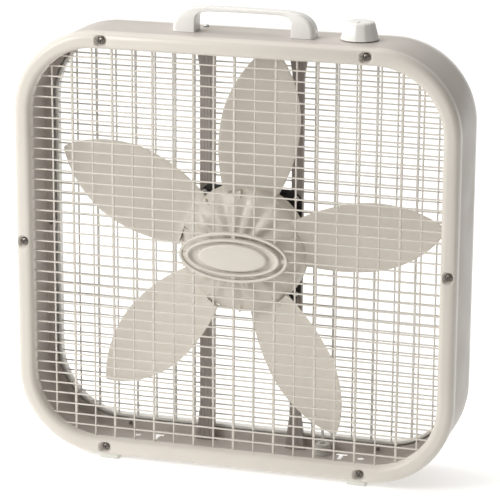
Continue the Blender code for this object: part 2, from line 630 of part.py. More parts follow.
def motor_plate(mat):
    cut = 0.010
    w, h = PLATE_HALF_WIDTH, PLATE_HALF_HEIGHT
    corners = [(w - cut, h), (-w + cut, h), (-w, h - cut), (-w, -h + cut),
               (-w + cut, -h), (w - cut, -h), (w, -h + cut), (w, h - cut)]
    bm = bmesh.new()
    prism(bm, [(x, CENTRE_Z + z) for x, z in corners], *PLATE_Y)
    plate = add_object("motor_plate", bm, mat)
    holes = bmesh.new()
    rod(holes, 0.0180, 0.020, 0.030, (0, 0, CENTRE_Z), segments=20)
    for x, z in bolt_places():
        rod(holes, 0.0023, 0.020, 0.030, (x, 0, z), segments=8)
    for x in (-STRUT_X, STRUT_X):
        for z in (-PLATE_SCREW_Z, PLATE_SCREW_Z):
            rod(holes, SCREW_HOLE_RADIUS, 0.020, 0.030, (x, 0, CENTRE_Z + z), segments=8)
    combine(plate, "DIFFERENCE", holes)


# ---------------------------------------------------------------- struts
def strut(name, x, mat):
    """A channel open to the rear that widens at both ends, with an end tab for its screw."""
    low, high = BAND_FLOOR_Z + BAND_SHEET + GAP, BAND_TOP_Z - BAND_SHEET - GAP
    stations = [(low, STRUT_FOOT[0]), (low + STRUT_FOOT[1], STRUT_WIDTH),
                (high - STRUT_HEAD[1], STRUT_WIDTH), (high, STRUT_HEAD[0])]
    bm = bmesh.new()
    loops = []
    for z, width in stations:
        outer, inner = width / 2, width / 2 - STRUT_SHEET
        section = [(-outer, STRUT_REAR_Y), (-outer, STRUT_FRONT_Y),
                   (outer, STRUT_FRONT_Y), (outer, STRUT_REAR_Y),
                   (inner, STRUT_REAR_Y), (inner, STRUT_FRONT_Y + STRUT_SHEET),
                   (-inner, STRUT_FRONT_Y + STRUT_SHEET), (-inner, STRUT_REAR_Y)]
        loops.append([bm.verts.new((x + dx, y, z)) for dx, y in section])
    fill_loops(bm, loops, closed_section=False, cap=True)
    channel = add_object(name, bm, mat)
    tabs = bmesh.new()
    for z, width in ((low, STRUT_FOOT[0]), (high - STRUT_SHEET, STRUT_HEAD[0])):
        half = (width - STRUT_SHEET) / 2
        box(tabs, (x - half, STRUT_FRONT_Y + STRUT_SHEET / 2, z),
            (x + half, STRUT_REAR_Y, z + STRUT_SHEET))
    combine(channel, "UNION", tabs)
    holes = bmesh.new()
    mid_y = (STRUT_FRONT_Y + STRUT_REAR_Y) / 2
    for z in (low, high - STRUT_SHEET):
        rod(holes, SCREW_HOLE_RADIUS, z - 0.001, z + STRUT_SHEET + 0.001, (x, mid_y, 0), "Z", 8)
    for z in (-PLATE_SCREW_Z, PLATE_SCREW_Z):
        place = (x, 0, CENTRE_Z + z)
        rod(holes, SCREW_HOLE_RADIUS, STRUT_FRONT_Y - 0.001, STRUT_FRONT_Y + 0.003, place, segments=8)
    combine(channel, "DIFFERENCE", holes)


# ---------------------------------------------------------------- screws
def fasteners(mats):
    names = ("upper_left", "upper_right", "left", "right", "lower_left", "lower_right")
    for shell, side in (("front", FRONT), ("rear", REAR)):
        for name, (x, z) in zip(names, screw_places()):
            bm = bmesh.new()
            screw(bm, (x, 0, z), side, side * (POCKET_FLOOR_Y + GAP), side * 0.0330)
            add_object(f"{shell}_screw_{name}", bm, mats["dark_steel"])
    strut_mid_y = (STRUT_FRONT_Y + STRUT_REAR_Y) / 2
    for label, sign in (("left", -1), ("right", 1)):
        place = (sign * STRUT_X, strut_mid_y, 0)
        for end, head_at, tip_at, way in (("lower", BAND_FLOOR_Z - GAP, BAND_FLOOR_Z + 0.0080, -1),
                                          ("upper", BAND_TOP_Z + GAP, BAND_TOP_Z - 0.0080, 1)):
            bm = bmesh.new()
            screw(bm, place, way, head_at, tip_at, "Z", head=0.0036)
            add_object(f"strut_screw_{end}_{label}", bm, mats["zinc"])
        for end, z in (("lower", -PLATE_SCREW_Z), ("upper", PLATE_SCREW_Z)):
            bm = bmesh.new()
            screw(bm, (sign * STRUT_X, 0, CENTRE_Z + z), FRONT, PLATE_Y[0] - GAP, 0.0300, head=0.0036)
            add_object(f"plate_screw_{end}_{label}", bm, mats["zinc"])
        bm = bmesh.new()
        head_at, tip_at = BAND_TOP_Z - BAND_SHEET - GAP, BAND_TOP_Z + 0.0120
        screw(bm, (sign * HANDLE_SCREW_X, 0, 0), -1, head_at, tip_at, "Z")
        add_object(f"handle_screw_{label}", bm, mats["zinc"])


# ---------------------------------------------------------------- cord gland and inner leads
def cord_gland(mat):
    """Bushing in the band's floor: a flange below, a groove for the sheet, a tapered boss above."""
    sheet_low, sheet_high = BAND_FLOOR_Z, BAND_FLOOR_Z + BAND_SHEET
    profile = [(0.0036, sheet_low - 0.0035), (0.0110, sheet_low - 0.0035), (0.0118, sheet_low - 0.0020),
               (0.0118, sheet_low - GAP), (0.0080, sheet_low - GAP), (0.0080, sheet_high + GAP),
               (0.0105, sheet_high + GAP), (0.0098, sheet_high + 0.0120), (0.0085, sheet_high + 0.0135),
               (0.0036, sheet_high + 0.0135)]
    bm = bmesh.new()
    turned(bm, profile, (GLAND_X, GLAND_Y, 0), "Z", segments=14)
    add_object("cord_gland", bm, mat)


def smooth_route(points, spacing):
    """Points at even spacing along the Catmull-Rom curve through the given points."""
    points = [Vector(p) for p in points]
    padded = [2 * points[0] - points[1]] + points + [2 * points[-1] - points[-2]]
    fine = []
    for p0, p1, p2, p3 in zip(padded, padded[1:], padded[2:], padded[3:]):
        for step in range(24):
            t = step / 24
            fine.append(0.5 * (2 * p1 + (p2 - p0) * t + (2 * p0 - 5 * p1 + 4 * p2 - p3) * t ** 2
                               + (3 * p1 - p0 - 3 * p2 + p3) * t ** 3))
    fine.append(points[-1])
    lengths = [0.0]
    for a, b in zip(fine, fine[1:]):
        lengths.append(lengths[-1] + (b - a).length)
    count = max(2, round(lengths[-1] / spacing))
    route, index = [], 0
    for step in range(count + 1):
        wanted = lengths[-1] * step / count
        while index < len(fine) - 2 and lengths[index + 1] < wanted:
            index += 1
        span = lengths[index + 1] - lengths[index]
        route.append(fine[index].lerp(fine[index + 1], min(1, (wanted - lengths[index]) / span)))
    return route


def lead(name, points, mat):
    curve = bpy.data.curves.new(name, "CURVE")
    curve.dimensions = "3D"
    curve.bevel_depth = LEAD_RADIUS
    curve.bevel_resolution = 2
    curve.use_fill_caps = True
    route = smooth_route(points, 0.0125)
    spline = curve.splines.new("POLY")
    spline.points.add(len(route) - 1)
    for target, point in zip(spline.points, route):
        target.co = (*point, 1.0)
    curve.materials.append(mat)
    obj = bpy.data.objects.new(name, curve)
    bpy.context.scene.collection.objects.link(obj)


def leads(mats):
    """The supply lead from the gland and the motor lead, both run up the right strut to the switch."""
    switch_side_x = KNOB_X - 0.015 - 3 * GAP
    channel_y = STRUT_FRONT_Y + STRUT_SHEET + LEAD_RADIUS + 0.0008
    behind_y = STRUT_REAR_Y + LEAD_RADIUS + 0.0004
    supply_x, motor_x = STRUT_X + 0.0039, STRUT_X - 0.0039
    supply = [(GLAND_X, GLAND_Y, BAND_FLOOR_Z + 0.0060), (GLAND_X, GLAND_Y, BAND_FLOOR_Z + 0.0250),
              (GLAND_X - 0.0060, GLAND_Y + 0.0070, BAND_FLOOR_Z + 0.0420),
              (GLAND_X - 0.0200, behind_y, 0.0640),
              (supply_x, behind_y, 0.0900), (supply_x, channel_y + 0.0020, 0.1120),
              (supply_x, channel_y, 0.1400), (supply_x, channel_y, 0.2900), (supply_x, channel_y, 0.4400),
              (supply_x, channel_y + 0.0020, 0.4600), (supply_x + 0.0010, behind_y, 0.4800),
              (0.0710, behind_y, 0.4900), (0.0820, behind_y, 0.4970), (0.0990, 0.0260, 0.5025),
              (switch_side_x - 0.0120, KNOB_Y + 0.0060, 0.5030), (switch_side_x, KNOB_Y + 0.0050, 0.5030)]
    lead("supply_lead", supply, mats["lead"])
    motor = [(-0.0120, 0.0248, CENTRE_Z + 0.0040), (-0.0120, 0.0290, CENTRE_Z + 0.0040),
             (-0.0085, 0.0345, CENTRE_Z + 0.0080), (0.0020, behind_y, CENTRE_Z + 0.0180),
             (0.0260, behind_y, CENTRE_Z + 0.0340), (0.0430, behind_y, CENTRE_Z + 0.0500),
             (motor_x, behind_y, CENTRE_Z + 0.0720), (motor_x, channel_y + 0.0020, CENTRE_Z + 0.0940),
             (motor_x, channel_y, CENTRE_Z + 0.1200), (motor_x, channel_y, 0.4550),
             (motor_x, channel_y + 0.0020, 0.4740), (motor_x + 0.0010, behind_y, 0.4930),
             (0.0640, behind_y, 0.5040), (0.0760, behind_y, 0.5095), (0.0940, 0.0240, 0.5115),
             (switch_side_x - 0.0120, KNOB_Y - 0.0030, 0.5115), (switch_side_x, KNOB_Y - 0.0040, 0.5115)]
    lead("motor_lead", motor, mats["lead"])


# ---------------------------------------------------------------- assembly
def build():
    clear_scene()
    mats = {
        "shell": principled("shell_plastic", (0.72, 0.67, 0.60), 0.42),
        "white_plastic": principled("white_plastic", (0.84, 0.83, 0.80), 0.25),
        "band": principled("band_paint", (0.44, 0.39, 0.36), 0.35, 0.1),
        "blade": principled("blade_plastic", (0.50, 0.46, 0.40), 0.40),
        "strut": principled("strut_paint", (0.14, 0.12, 0.11), 0.45, 0.3),
        "black_metal": principled("black_paint", (0.02, 0.02, 0.02), 0.45, 0.3),
        "black_plastic": principled("black_plastic", (0.03, 0.03, 0.03), 0.5),
        "zinc": principled("zinc_plate", (0.60, 0.60, 0.58), 0.35, 0.9),
        "dark_steel": principled("dark_steel", (0.18, 0.17, 0.16), 0.35, 0.9),
        "steel": principled("bright_steel", (0.62, 0.62, 0.62), 0.25, 1.0),
        "lamination": principled("lamination_steel", (0.28, 0.28, 0.29), 0.5, 0.9),
        "copper": principled("enamelled_copper", (0.62, 0.24, 0.10), 0.35, 0.8),
        "bronze": principled("sintered_bronze", (0.45, 0.30, 0.14), 0.5, 0.9),
        "lead": principled("lead_jacket", (0.62, 0.61, 0.58), 0.5),
        "gland": principled("gland_plastic", (0.50, 0.49, 0.46), 0.5),
    }
    fan_pivot = add_empty("fan_axis", (0, 0, CENTRE_Z))
    knob_pivot = add_empty("knob_axis", (KNOB_X, KNOB_Y, BAND_TOP_Z))
    grille_shell("front_shell", FRONT, mats["shell"], badge=True)
    grille_shell("rear_shell", REAR, mats["shell"], badge=False, outline_inset=REAR_INSET)
    badge_plate(mats["shell"])
    housing_band(mats["band"])
    handle(mats["white_plastic"])
    switch_parts(mats, knob_pivot)
    rotor_parts(mats, fan_pivot)
    motor_parts(mats)
    motor_plate(mats["black_metal"])
    for name, x in (("strut_left", -STRUT_X), ("strut_right", STRUT_X)):
        strut(name, x, mats["strut"])
    fasteners(mats)
    cord_gland(mats["gland"])
    leads(mats)


build()
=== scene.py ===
"""Looks of the box fan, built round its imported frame.

Metres in the frame's own axes: +Z up, -Y the side the air blows to, the fan's axis level and
half way up the body. Each piece is a mesh that stands for the CAD node it replaces.
"""

import math

import bmesh
import bpy
from mathutils import Matrix, Vector


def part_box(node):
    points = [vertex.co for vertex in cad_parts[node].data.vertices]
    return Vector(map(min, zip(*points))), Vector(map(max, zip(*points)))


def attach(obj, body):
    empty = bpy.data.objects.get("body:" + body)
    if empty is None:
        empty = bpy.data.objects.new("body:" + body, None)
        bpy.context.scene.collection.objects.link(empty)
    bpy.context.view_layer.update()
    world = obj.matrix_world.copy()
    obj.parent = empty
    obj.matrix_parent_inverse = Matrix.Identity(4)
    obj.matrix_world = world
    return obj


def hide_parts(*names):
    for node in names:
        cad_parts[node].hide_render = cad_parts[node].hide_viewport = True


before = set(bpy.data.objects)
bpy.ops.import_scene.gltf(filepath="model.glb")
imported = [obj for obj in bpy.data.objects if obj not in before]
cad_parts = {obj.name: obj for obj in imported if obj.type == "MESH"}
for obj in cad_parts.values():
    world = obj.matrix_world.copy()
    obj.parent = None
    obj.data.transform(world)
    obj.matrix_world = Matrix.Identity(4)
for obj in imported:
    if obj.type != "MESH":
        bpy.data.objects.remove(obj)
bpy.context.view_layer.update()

# --- sizes, from the frame
SHELL_LOW, SHELL_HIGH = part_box("front_shell")
BAND_LOW, BAND_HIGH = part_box("housing_band")
STRUT_LOW, STRUT_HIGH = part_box("strut_right")

HALF_W = SHELL_HIGH.x
REAR_INSET = HALF_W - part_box("rear_shell")[1].x
PAD_DROP = 0.005                       # the foot pads stand this far below the shells
HALF_H = (SHELL_HIGH.z - PAD_DROP) / 2
CENTRE_Z = PAD_DROP + HALF_H
CROWN_Y = -SHELL_LOW.y                 # front of the border, measured from the middle
SEAM_Y = 0.0403                        # where the rims of the shells meet the band
CORNER_RADIUS = 0.100
BEZEL_WIDTH = 0.0195
CHANNEL_DEPTH = 0.0095                 # of the border's hollow back, below its crown

ROW_COUNT, ROW_PITCH = 37, 0.0125
COLUMN_COUNT, COLUMN_PITCH = 19, 0.0247
BAR_END_INSET = 0.0180
BAR_Y = 0.0420                         # plane between the rows and the columns behind them
ROW_BAR = (0.0018, 0.0020)             # height and depth
THIN_COLUMN, THICK_COLUMN = (0.0020, 0.0020), (0.0030, 0.0022)
ROW_SINK, COLUMN_SINK = 0.0002, 0.0005  # how far each set reaches past that plane

RING_HALF = (0.0660, 0.0300)           # half axes of the ring round the badge
RING_WALL = 0.0035
BADGE_HALF = (0.0570, 0.0225)
SCREW_INSET, SCREW_X = 0.0095, 0.157   # of the case screws: from the outline, from the middle
POCKET_FLOOR_Y = 0.0493
POCKET_HALF = (0.0049, 0.0047)         # along and across the border, at the floor
POCKET_SLOPE = 0.0034                  # how far each wall leans out
HEAD_HEIGHT = 0.0026                   # of every screw
LARGE_HEAD, SMALL_HEAD = 0.0043, 0.0036  # radii, as are the next two
SHANK = 0.0019
CLEARANCE = 0.0023                     # of every screw's hole
BOLT_CIRCLE = 0.0400                   # radius of the ring of motor bolts
PLATE_SCREW_Z = 0.058                  # above and below the fan's axis
PAD_X, PAD_WIDTH, PAD_END_Y = 0.153, 0.024, 0.0520

BAND_TOP = BAND_HIGH.z
BAND_FLOOR = BAND_LOW.z
BAND_INSET = HALF_W - BAND_HIGH.x
SHEET = 0.0010                         # of the band and the struts
FLANGE_INSET, FLANGE_Y = 0.0138, 0.0400

ROTOR_RADIUS = 0.247
ROTOR_Y = -0.006
HUB_RADIUS = 0.076
BLADES = 5
FIRST_BLADE = 10.0                     # degrees above +X
BLADE_HALF_CHORD = 0.0445
WIDEST_RADIUS = 0.155
BLADE_THICKNESS = 0.0022
MOTOR_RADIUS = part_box("motor_rear_bell")[1].x
STRUT_X = (STRUT_LOW.x + STRUT_HIGH.x) / 2
STRUT_WIDTH = 0.0139
STRUT_FOOT = (0.0250, 0.042)           # width at the lower end, length over which it widens
STRUT_HEAD = (STRUT_HIGH.x - STRUT_LOW.x, 0.050)
FAN_AXIS = Vector((0, 0, CENTRE_Z))
MIX_A, MIX_B, MIX_OUT = 6, 7, 2        # the colour sockets of a mix node


# --- node helpers
def add_node(tree, kind, links=None, **values):
    """A node with its inputs or properties set by name (blanks as _), and its inputs linked."""
    made = tree.nodes.new(kind)
    for key, value in values.items():
        label = key.replace("_", " ")
        if label in made.inputs:
            made.inputs[label].default_value = value
        else:
            setattr(made, key, value)
    for key, source in (links or {}).items():
        tree.links.new(source, made.inputs[key])
    return made


def new_material(name, colour, roughness, metallic=0.0, **sockets):
    """A plain material; returns it, its tree, its shader and the object's coordinates."""
    mat = bpy.data.materials.new(name)
    mat.use_nodes = True
    mat.diffuse_color = (*colour, 1)
    tree = mat.node_tree
    shader = tree.nodes["Principled BSDF"]
    shader.inputs["Base Color"].default_value = (*colour, 1)
    shader.inputs["Roughness"].default_value = roughness
    shader.inputs["Metallic"].default_value = metallic
    for key, value in sockets.items():
        shader.inputs[key.replace("_", " ")].default_value = value
    return mat, tree, shader, add_node(tree, "ShaderNodeTexCoord").outputs["Object"]


def scaled(colour, factor):
    return (*(min(c * factor, 1.0) for c in colour), 1)


def mixed(tree, shader, factor, second):
    """Colour mix that feeds the shader; the caller sets its first colour."""
    mix = add_node(tree, "ShaderNodeMix", {"Factor": factor.outputs["Result"]}, data_type="RGBA")
    mix.inputs[MIX_B].default_value = second
    tree.links.new(mix.outputs[MIX_OUT], shader.inputs["Base Color"])
    return mix


def mottled(tree, shader, colour, coords, scale, low, high, detail):
    """Cloudy variation of the base colour; returns the colour output."""
    cloud = add_node(tree, "ShaderNodeTexNoise", {"Vector": coords}, Scale=scale, Detail=detail)
    ramp = add_node(tree, "ShaderNodeMapRange", {"Value": cloud.outputs["Fac"]},
                    From_Min=0.3, From_Max=0.7)
    mix = mixed(tree, shader, ramp, scaled(colour, high))
    mix.inputs[MIX_A].default_value = scaled(colour, low)
    return mix.outputs[MIX_OUT]


def varied_roughness(tree, shader, coords, scale, low, high):
    smudge = add_node(tree, "ShaderNodeTexNoise", {"Vector": coords}, Scale=scale, Detail=4.0)
    spread = add_node(tree, "ShaderNodeMapRange", {"Value": smudge.outputs["Fac"]},
                      From_Min=0.3, From_Max=0.7, To_Min=low, To_Max=high)
    tree.links.new(spread.outputs["Result"], shader.inputs["Roughness"])


def grained(tree, shader, coords, layers):
    """Bump from layers of (noise scale, height in metres)."""
    normal = None
    for scale, height in layers:
        noise = add_node(tree, "ShaderNodeTexNoise", {"Vector": coords}, Scale=scale, Detail=2.0)
        bump = add_node(tree, "ShaderNodeBump", {"Height": noise.outputs["Fac"]}, Distance=height)
        if normal:
            tree.links.new(normal, bump.inputs["Normal"])
        normal = bump.outputs["Normal"]
    tree.links.new(normal, shader.inputs["Normal"])


def edge_worn(tree, shader, colour_out, worn_colour, amount):
    """Edges that hands and dusting have rubbed lighter, from the mesh's pointiness."""
    geometry = add_node(tree, "ShaderNodeNewGeometry")
    edge = add_node(tree, "ShaderNodeMapRange", {"Value": geometry.outputs["Pointiness"]},
                    From_Min=0.51, From_Max=0.60, To_Max=amount)
    tree.links.new(colour_out, mixed(tree, shader, edge, worn_colour).inputs[MIX_A])


def finished(name, colour, look, cloud, wear, smudge, bumps, **sockets):
    """A material with cloudy colour, worn edges, uneven gloss and fine bumps.

    look: roughness, metallic; cloud: scale, darkest, lightest, detail; wear: lightening, amount;
    smudge: scale, roughness down and up; bumps: layers of grained.
    """
    mat, tree, shader, coords = new_material(name, colour, *look, **sockets)
    out = mottled(tree, shader, colour, coords, *cloud)
    edge_worn(tree, shader, out, scaled(colour, wear[0]), wear[1])
    scale, down, up = smudge
    varied_roughness(tree, shader, coords, scale, look[0] - down, look[0] + up)
    grained(tree, shader, coords, bumps)
    return mat


def moulded_plastic(name, colour, roughness, grain=0.000012, wear=0.12, **sockets):
    return finished(name, colour, (roughness, 0.0), (9.0, 0.965, 1.02, 3.0), (1.12, wear),
                    (35.0, 0.05, 0.07), [(2600.0, grain), (240.0, grain * 2.5)], **sockets)


def sprayed_paint(name, colour, roughness, metallic=0.0, peel=0.00003, **sockets):
    """Stoved enamel on sheet steel: orange peel, fine flake and faint smears."""
    return finished(name, colour, (roughness, metallic), (5.0, 0.95, 1.04, 5.0), (1.25, 0.2),
                    (22.0, 0.05, 0.08), [(700.0, peel), (3800.0, peel * 0.2), (9.0, peel * 6)],
                    **sockets)


def plated_metal(name, colour, roughness, grain=0.000008):
    return finished(name, colour, (roughness, 1.0), (160.0, 0.8, 1.1, 4.0), (1.4, 0.35),
                    (300.0, 0.08, 0.12), [(2500.0, grain)])


def banded_metal(name, colour, roughness, pitch, height, axis="Y"):
    """Metal with fine parallel lines, spaced along an axis: stacked laminations or wound wire."""
    mat, tree, shader, coords = new_material(name, colour, roughness, 1.0)
    mottled(tree, shader, colour, coords, 120.0, 0.75, 1.1, 4.0)
    varied_roughness(tree, shader, coords, 200.0, roughness - 0.08, roughness + 0.12)
    scale = math.tau / pitch / 20          # the wave node multiplies its own scale by 20
    lines = add_node(tree, "ShaderNodeTexWave", {"Vector": coords}, bands_direction=axis,
                     Scale=scale, Distortion=0.4, Detail=1.0)
    bump = add_node(tree, "ShaderNodeBump", {"Height": lines.outputs["Fac"]}, Distance=height)
    tree.links.new(bump.outputs["Normal"], shader.inputs["Normal"])
    return mat


SHELL = moulded_plastic("shell_plastic", (0.655, 0.615, 0.56), 0.34, Coat_Weight=0.12,
                        Coat_Roughness=0.2, Specular_IOR_Level=0.4)
# The rear shell is the front shell's plastic, painted lighter: the extra lightness is painted
# backlight, standing in for the bright light behind the rear grille.
BACKLIT_REAR_SHELL = moulded_plastic("rear_shell_plastic_painted_backlight", (0.82, 0.81, 0.775), 0.38)
WHITE = moulded_plastic("white_plastic", (0.86, 0.85, 0.82), 0.22, grain=0.000004, Coat_Weight=0.3,
                        Coat_Roughness=0.08)
BAND = sprayed_paint("band_paint", (0.53, 0.49, 0.455), 0.36, Specular_IOR_Level=0.2)
BLADE = moulded_plastic("blade_plastic", (0.70, 0.655, 0.59), 0.36, grain=0.000006, wear=0.25)
STRUT = sprayed_paint("strut_paint", (0.35, 0.32, 0.30), 0.42, 0.1, peel=0.00002)
BLACK_PAINT = sprayed_paint("black_paint", (0.022, 0.021, 0.021), 0.42, 0.2, peel=0.00002)
BLACK_PLASTIC = moulded_plastic("black_plastic", (0.03, 0.03, 0.032), 0.45)
PAD = moulded_plastic("pad_plastic", (0.70, 0.70, 0.65), 0.5)
ZINC = plated_metal("zinc_plate", (0.62, 0.63, 0.62), 0.34)
DARK_STEEL = plated_metal("dark_steel", (0.20, 0.185, 0.17), 0.34)
STEEL = plated_metal("bright_steel", (0.66, 0.66, 0.66), 0.25)
LAMINATION = banded_metal("lamination_steel", (0.30, 0.30, 0.31), 0.45, 0.0007, 0.00008)
COPPER = banded_metal("enamelled_copper", (0.66, 0.26, 0.10), 0.32, 0.0006, 0.00015, "DIAGONAL")
BRONZE = plated_metal("sintered_bronze", (0.47, 0.31, 0.15), 0.5, grain=0.00002)
JACKET = moulded_plastic("lead_jacket", (0.62, 0.61, 0.58), 0.45)
GLAND = moulded_plastic("gland_plastic", (0.55, 0.54, 0.51), 0.45)


# --- mesh helpers
def linked(name, data):
    obj = bpy.data.objects.new(name, data)
    bpy.context.scene.collection.objects.link(obj)
    return obj


def add_piece(name, bm, mat, sharp=35.0):
    bmesh.ops.recalc_face_normals(bm, faces=bm.faces)
    mesh = bpy.data.meshes.new(name)
    bm.to_mesh(mesh)
    bm.free()
    mesh.materials.append(mat)
    obj = linked(name, mesh)
    shade(obj, sharp)
    return obj


def shade(obj, sharp):
    obj.data.shade_smooth()
    obj.data.set_sharp_from_angle(angle=math.radians(sharp))


def apply_modifiers(obj, sharp=35.0):
    depsgraph = bpy.context.evaluated_depsgraph_get()
    depsgraph.update()
    mesh = bpy.data.meshes.new_from_object(obj.evaluated_get(depsgraph))
    obj.modifiers.clear()
    obj.data = mesh
    shade(obj, sharp)


def combine(obj, operation, bm, sharp=35.0):
    """Join or cut obj with the closed shapes in bm, and keep the result."""
    tool = add_piece("tool", bm, obj.data.materials[0])
    modifier = obj.modifiers.new("combine", "BOOLEAN")
    modifier.operation = operation
    modifier.solver = "MANIFOLD"
    modifier.object = tool
    apply_modifiers(obj, sharp)
    bpy.data.objects.remove(tool)


def bevelled(obj, width, segments, angle=40.0):
    modifier = obj.modifiers.new("bevel", "BEVEL")
    modifier.width = width
    modifier.segments = segments
    modifier.limit_method = "ANGLE"
    modifier.angle_limit = math.radians(angle)
    apply_modifiers(obj)


def install(obj, slot, *nodes, body="housing"):
    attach(obj, body)
    if nodes:
        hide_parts(*nodes)


def loop_at(bm, points, y):
    return [bm.verts.new((x, y, z)) for x, z in points]


def skin(bm, loops, around=True, caps=False):
    """Quads between equally long loops of vertices; around closes the last loop to the first."""
    for i in range(len(loops) if around else len(loops) - 1):
        a, b = loops[i], loops[(i + 1) % len(loops)]
        for j in range(len(a)):
            k = (j + 1) % len(a)
            bm.faces.new((a[j], a[k], b[k], b[j]))
    if caps:
        bm.faces.new(loops[0])
        bm.faces.new(loops[-1])


def loft(bm, loops):
    skin(bm, loops, around=False, caps=True)


def prism(bm, outline, low, high, axis="Y"):
    """Extrude an outline along an axis: (x, z) points along Y, or (x, y) points along Z."""
    def place(p, along):
        return (p[0], along, p[1]) if axis == "Y" else (p[0], p[1], along)
    loops = [[bm.verts.new(place(p, along)) for p in outline] for along in (low, high)]
    loft(bm, loops)


def rounded(points, steps=6):
    """A polygon of (a, b, radius) corners, each turned into an arc."""
    out = []
    for i, (a, b, radius) in enumerate(points):
        here = Vector((a, b))
        before = Vector(points[i - 1][:2]) - here
        after = Vector(points[(i + 1) % len(points)][:2]) - here
        if radius <= 0:
            out.append((a, b))
            continue
        half = before.angle(after) / 2
        cut = min(radius / math.tan(half), before.length * 0.499, after.length * 0.499)
        radius = cut * math.tan(half)
        start, end = here + before.normalized() * cut, here + after.normalized() * cut
        centre = here + (before.normalized() + after.normalized()).normalized() * (
            radius / math.sin(half))
        first, last = start - centre, end - centre
        turn = first.angle_signed(last)
        for s in range(steps + 1):
            out.append(tuple(centre + Matrix.Rotation(-turn * s / steps, 2) @ first))
    return out


def rectangle(x0, x1, z0, z1, radius, steps=4):
    return rounded([(x0, z0, radius), (x1, z0, radius), (x1, z1, radius), (x0, z1, radius)], steps)


def spoke(bm, outline, low, high, degrees):
    """A prism along Y, drawn about the origin, then turned about the fan's axis."""
    before = len(bm.verts)
    prism(bm, outline, low, high)
    bm.verts.ensure_lookup_table()
    turn = Matrix.Translation(FAN_AXIS) @ Matrix.Rotation(math.radians(degrees), 4, "Y")
    bmesh.ops.transform(bm, matrix=turn, verts=bm.verts[before:])


def turned(bm, profile, centre, axis="Y", segments=48, radius_of=None):
    """Turn (radius, along) points about an axis; radius 0 closes on the axis.

    radius_of(radius, along, angle) may bend the surface: it returns (radius, along).
    """
    rings = []
    for radius, along in profile:
        ring = []
        for i in range(1 if radius == 0 else segments):
            angle = math.tau * i / segments
            r, a = radius_of(radius, along, angle) if radius_of and radius else (radius, along)
            across = (r * math.cos(angle), r * math.sin(angle))
            offset = (across[0], a, across[1]) if axis == "Y" else (*across, a)
            ring.append(bm.verts.new(Vector(centre) + Vector(offset)))
        rings.append(ring)
    closed = profile[0][0] != 0
    for i in range(len(rings) if closed else len(rings) - 1):
        a, b = rings[i], rings[(i + 1) % len(rings)]
        for j in range(segments):
            k = (j + 1) % segments
            corners = [a[j % len(a)], a[k % len(a)], b[k % len(b)], b[j % len(b)]]
            bm.faces.new([v for n, v in enumerate(corners) if v not in corners[:n]])


def rod(bm, radius, start, end, centre, axis="Y", segments=24):
    turned(bm, [(0, start), (radius, start), (radius, end), (0, end)], centre, axis, segments)


def screw_holes(bm, places, low, high):
    for x, z in places:
        rod(bm, CLEARANCE, low, high, (x, 0, z))


def plan_centre(node):
    """The middle of a node's box seen from above, at height 0."""
    low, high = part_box(node)
    return (low.x + high.x) / 2, (low.y + high.y) / 2, 0


def curve_through(points, per_span):
    """Catmull-Rom curve through points of any number of coordinates."""
    points = [tuple(p) for p in points]
    padded = [points[0]] + points + [points[-1]]
    out = []
    for p0, p1, p2, p3 in zip(padded, padded[1:], padded[2:], padded[3:]):
        for step in range(per_span):
            t = step / per_span
            out.append(tuple(0.5 * (2 * b + (c - a) * t + (2 * a - 5 * b + 4 * c - d) * t * t
                                    + (3 * b - a - 3 * c + d) * t ** 3)
                             for a, b, c, d in zip(p0, p1, p2, p3)))
    out.append(points[-1])
    return out


# --- the body's outline
def outline(inset):
    """(x, z) points of the body's rounded square, moved in by inset."""
    radius, steps = CORNER_RADIUS - inset, 28
    points = []
    for quarter, (sx, sz) in enumerate(((1, 1), (-1, 1), (-1, -1), (1, -1))):
        for step in range(steps + 1):
            angle = math.radians(90 * (quarter + step / steps))
            points.append((sx * (HALF_W - CORNER_RADIUS) + radius * math.cos(angle),
                           CENTRE_Z + sz * (HALF_H - CORNER_RADIUS) + radius * math.sin(angle)))
    return points


def sweep_round(bm, section):
    """Run a closed (inset, y) section round the body's outline."""
    skin(bm, [loop_at(bm, outline(inset), y) for inset, y in section])


def half_span(offset, half_along, half_across):
    """Half length of a grille bar at an offset from the middle."""
    radius = CORNER_RADIUS - BAR_END_INSET
    beyond = abs(offset) - (half_across - CORNER_RADIUS)
    if beyond <= 0:
        return half_along - BAR_END_INSET
    return half_along - CORNER_RADIUS + math.sqrt(max(radius ** 2 - beyond ** 2, 0))


def screw_places():
    top, side = HALF_H - SCREW_INSET, HALF_W - SCREW_INSET
    offsets = ((-SCREW_X, top), (SCREW_X, top), (-side, 0), (side, 0), (-SCREW_X, -top),
               (SCREW_X, -top))
    return [(x, CENTRE_Z + z) for x, z in offsets]


# --- grille shells
def bar_section(width, depth):
    """Rounded bar: (across, depth) points about its own middle."""
    r = min(width, depth) * 0.34
    return rectangle(-width / 2, width / 2, -depth / 2, depth / 2, r, 3)


def straight_bar(bm, section, start, end, across, y, along_x):
    def place(s, w, d):
        return (s, y + d, across + w) if along_x else (across + w, y + d, s)
    loft(bm, [[bm.verts.new(place(s, w, d)) for w, d in section] for s in (start, end)])


def bar_stretches(offset, reach, ring_across, ring_along, badge):
    """The stretches of a bar on either side of the badge's ring, or the whole bar."""
    middle = ring_across - RING_WALL / 2
    if not badge or abs(offset) >= middle:
        return [(-reach, reach)]
    stop = (ring_along - RING_WALL / 2) * math.sqrt(1 - (offset / middle) ** 2)
    return [(-reach, -stop), (stop, reach)]


def grille_rows(bm, side, badge):
    section = bar_section(*ROW_BAR)
    y = side * (BAR_Y + ROW_BAR[1] / 2 - ROW_SINK)
    for i in range(ROW_COUNT):
        offset = (i - (ROW_COUNT - 1) / 2) * ROW_PITCH
        reach = half_span(offset, HALF_W, HALF_H)
        for start, end in bar_stretches(offset, reach, RING_HALF[1], RING_HALF[0], badge):
            straight_bar(bm, section, start, end, CENTRE_Z + offset, y, True)


